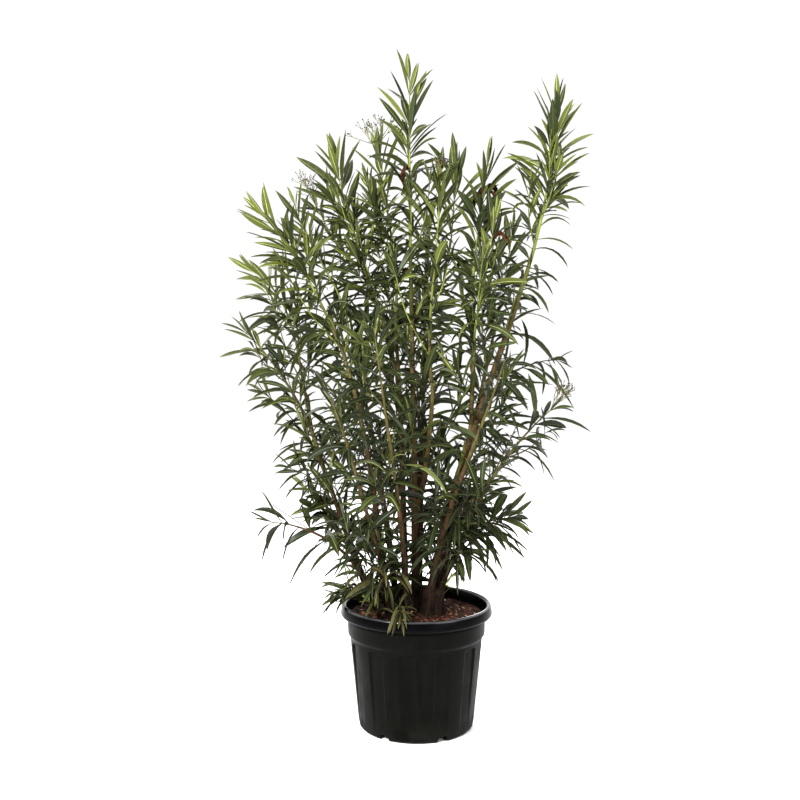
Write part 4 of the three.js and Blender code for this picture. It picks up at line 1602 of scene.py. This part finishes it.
def chips():
    """Flat tapered splinters lying any way up on the compost."""
    rng = np.random.default_rng(11)
    radius = (SOIL_RADIUS - CHIP_MARGIN) * np.sqrt(rng.random(CHIP_COUNT))
    turn = rng.uniform(0, 2 * np.pi, CHIP_COUNT)
    x, y = radius * np.cos(turn), radius * np.sin(turn)
    long = rng.gamma(3.0, CHIP_SCALE, CHIP_COUNT) + LEAST_CHIP
    wide = long * rng.uniform(0.2, 0.6, CHIP_COUNT)
    thick = long * rng.uniform(0.1, 0.3, CHIP_COUNT)
    yaw = rng.uniform(0, 2 * np.pi, CHIP_COUNT)
    pitch = rng.normal(0, 0.3, CHIP_COUNT)
    lean = rng.normal(0, 0.4, CHIP_COUNT)[:, None]
    along = np.stack([np.cos(yaw) * np.cos(pitch), np.sin(yaw) * np.cos(pitch), np.sin(pitch)], -1)
    aside = unit(np.cross(UP, along)) * np.cos(lean) + UP * np.sin(lean)
    aside = unit(aside - along * (aside * along).sum(-1, keepdims=True))
    axes = np.stack([along, aside, np.cross(along, aside)], 1)
    square = ((-1, -1), (1, -1), (1, 1), (-1, 1))
    box = np.array([(i, j, k) for i in (-1, 1) for j, k in square], float) / 2
    size = np.stack([long, wide, thick], -1)
    ragged = box[None] * size[:, None] * rng.uniform(0.55, 1.25, (CHIP_COUNT, len(box), 1))
    place = np.stack([x, y, soil_height(x, y) + CHIP_LIFT * thick], -1)
    pieces = np.einsum("nci,nij->ncj", ragged, axes) + place[:, None]
    faces = np.vstack(closed_faces(2, len(square)))
    tint = np.repeat(rng.choice(len(CHIP_TINTS), CHIP_COUNT, p=CHIP_SHARES), len(faces))
    pile = Pile()
    pile.add(pieces.reshape(-1, 3), [for_each(CHIP_COUNT, len(box), faces)], [tint])
    return pile


chip_finishes = plain_finishes("bark chip", CHIP_TINTS, Roughness=0.85, Specular_IOR_Level=0.1)
add_piece("bark_chips", chips(), chip_finishes)

# %% [markdown]
# ## Old flower stalks
# After flowering, a branching stalk with small dark buds is left at the tips of some shoots. The stalk
# forks again and again, each time thinner and shorter, so it is written as a function that calls itself.

# %% One stalk
STALK_TINTS = [(86, 86, 38), (62, 54, 29), (34, 25, 20)]  # two for the stalks, and one for the buds
BUD = 2
STALK_SIDES, BUD_SIDES = 5, 6
TAPER, THINNER = 0.75, 0.82  # a stalk's girth at its end, and a branch's at its foot, as shares
BUD_LENGTH, BUD_SWELL = 5 * MM, 1.0 * MM
FORK_TURN = 2.2  # between one branch of a fork and the next


def bud(pile, line, girth):
    """A small dark bud at the end of a stalk's line."""
    end = line.points[-1]
    core = Line([end, end + BUD_LENGTH * line.run[-1]], 1.25 * MM, 0)
    swell = np.sin(np.linspace(0.1, np.pi - 0.1, len(core.points)))
    corners, faces = tube(core, girth * 0.5 + BUD_SWELL * swell, BUD_SIDES)
    pile.add(corners, faces, BUD)


def stalk(pile, rng, start, heading, reach, girth, forks):
    """A thin stalk that bends a little, then forks, or ends in a bud."""
    bend = rng.normal(0, 0.12, 3)
    points = [start + (heading + bend * share) * reach * share for share in (0, 0.35, 0.7, 1)]
    line = Line(points, 4 * MM, 1)
    corners, faces = tube(line, np.linspace(girth, girth * TAPER, len(line.points)), STALK_SIDES)
    pile.add(corners, faces, rng.integers(0, BUD))
    if forks == 0:
        bud(pile, line, girth)
        return
    spin = rng.uniform(0, 2 * np.pi)
    for i in range(rng.integers(2, 4)):
        out = line.around(line.length, spin + i * FORK_TURN + rng.normal(0, 0.3))
        branch = unit(line.run[-1] + out * rng.uniform(0.3, 0.6) + 0.1 * UP)
        stalk(pile, rng, line.points[-1], branch, reach * rng.uniform(0.5, 0.8), girth * THINNER, forks - 1)


# %% Stalks at the tips
FLOWERED = {"mate": 1.1, "left_tall_mid": 1.1, "fork": 0.6, "right_low": 0.85}  # and how big the stalks are
STALKS, FORKS = 4, 3
STALK_REACH, STALK_GIRTH = 36 * MM, 1.3 * MM

pile = Pile()
for name, big in FLOWERED.items():
    line = SHOOTS[name].line
    rng = np.random.default_rng(SHOOTS[name].seed + 1)
    for i in range(STALKS):
        out = line.around(line.length, i * 2.1 + rng.normal(0, 0.3))
        heading = unit(line.run[-1] + out * 0.3 + 0.3 * UP)
        stalk(pile, rng, line.points[-1], heading, STALK_REACH * big, STALK_GIRTH, FORKS)
add_piece("flower_stalks", pile, plain_finishes("flower stalk", STALK_TINTS, Roughness=0.6))

# %% [markdown]
# ## The finished size
# The leaves may reach a little past the plain model, but only a little.
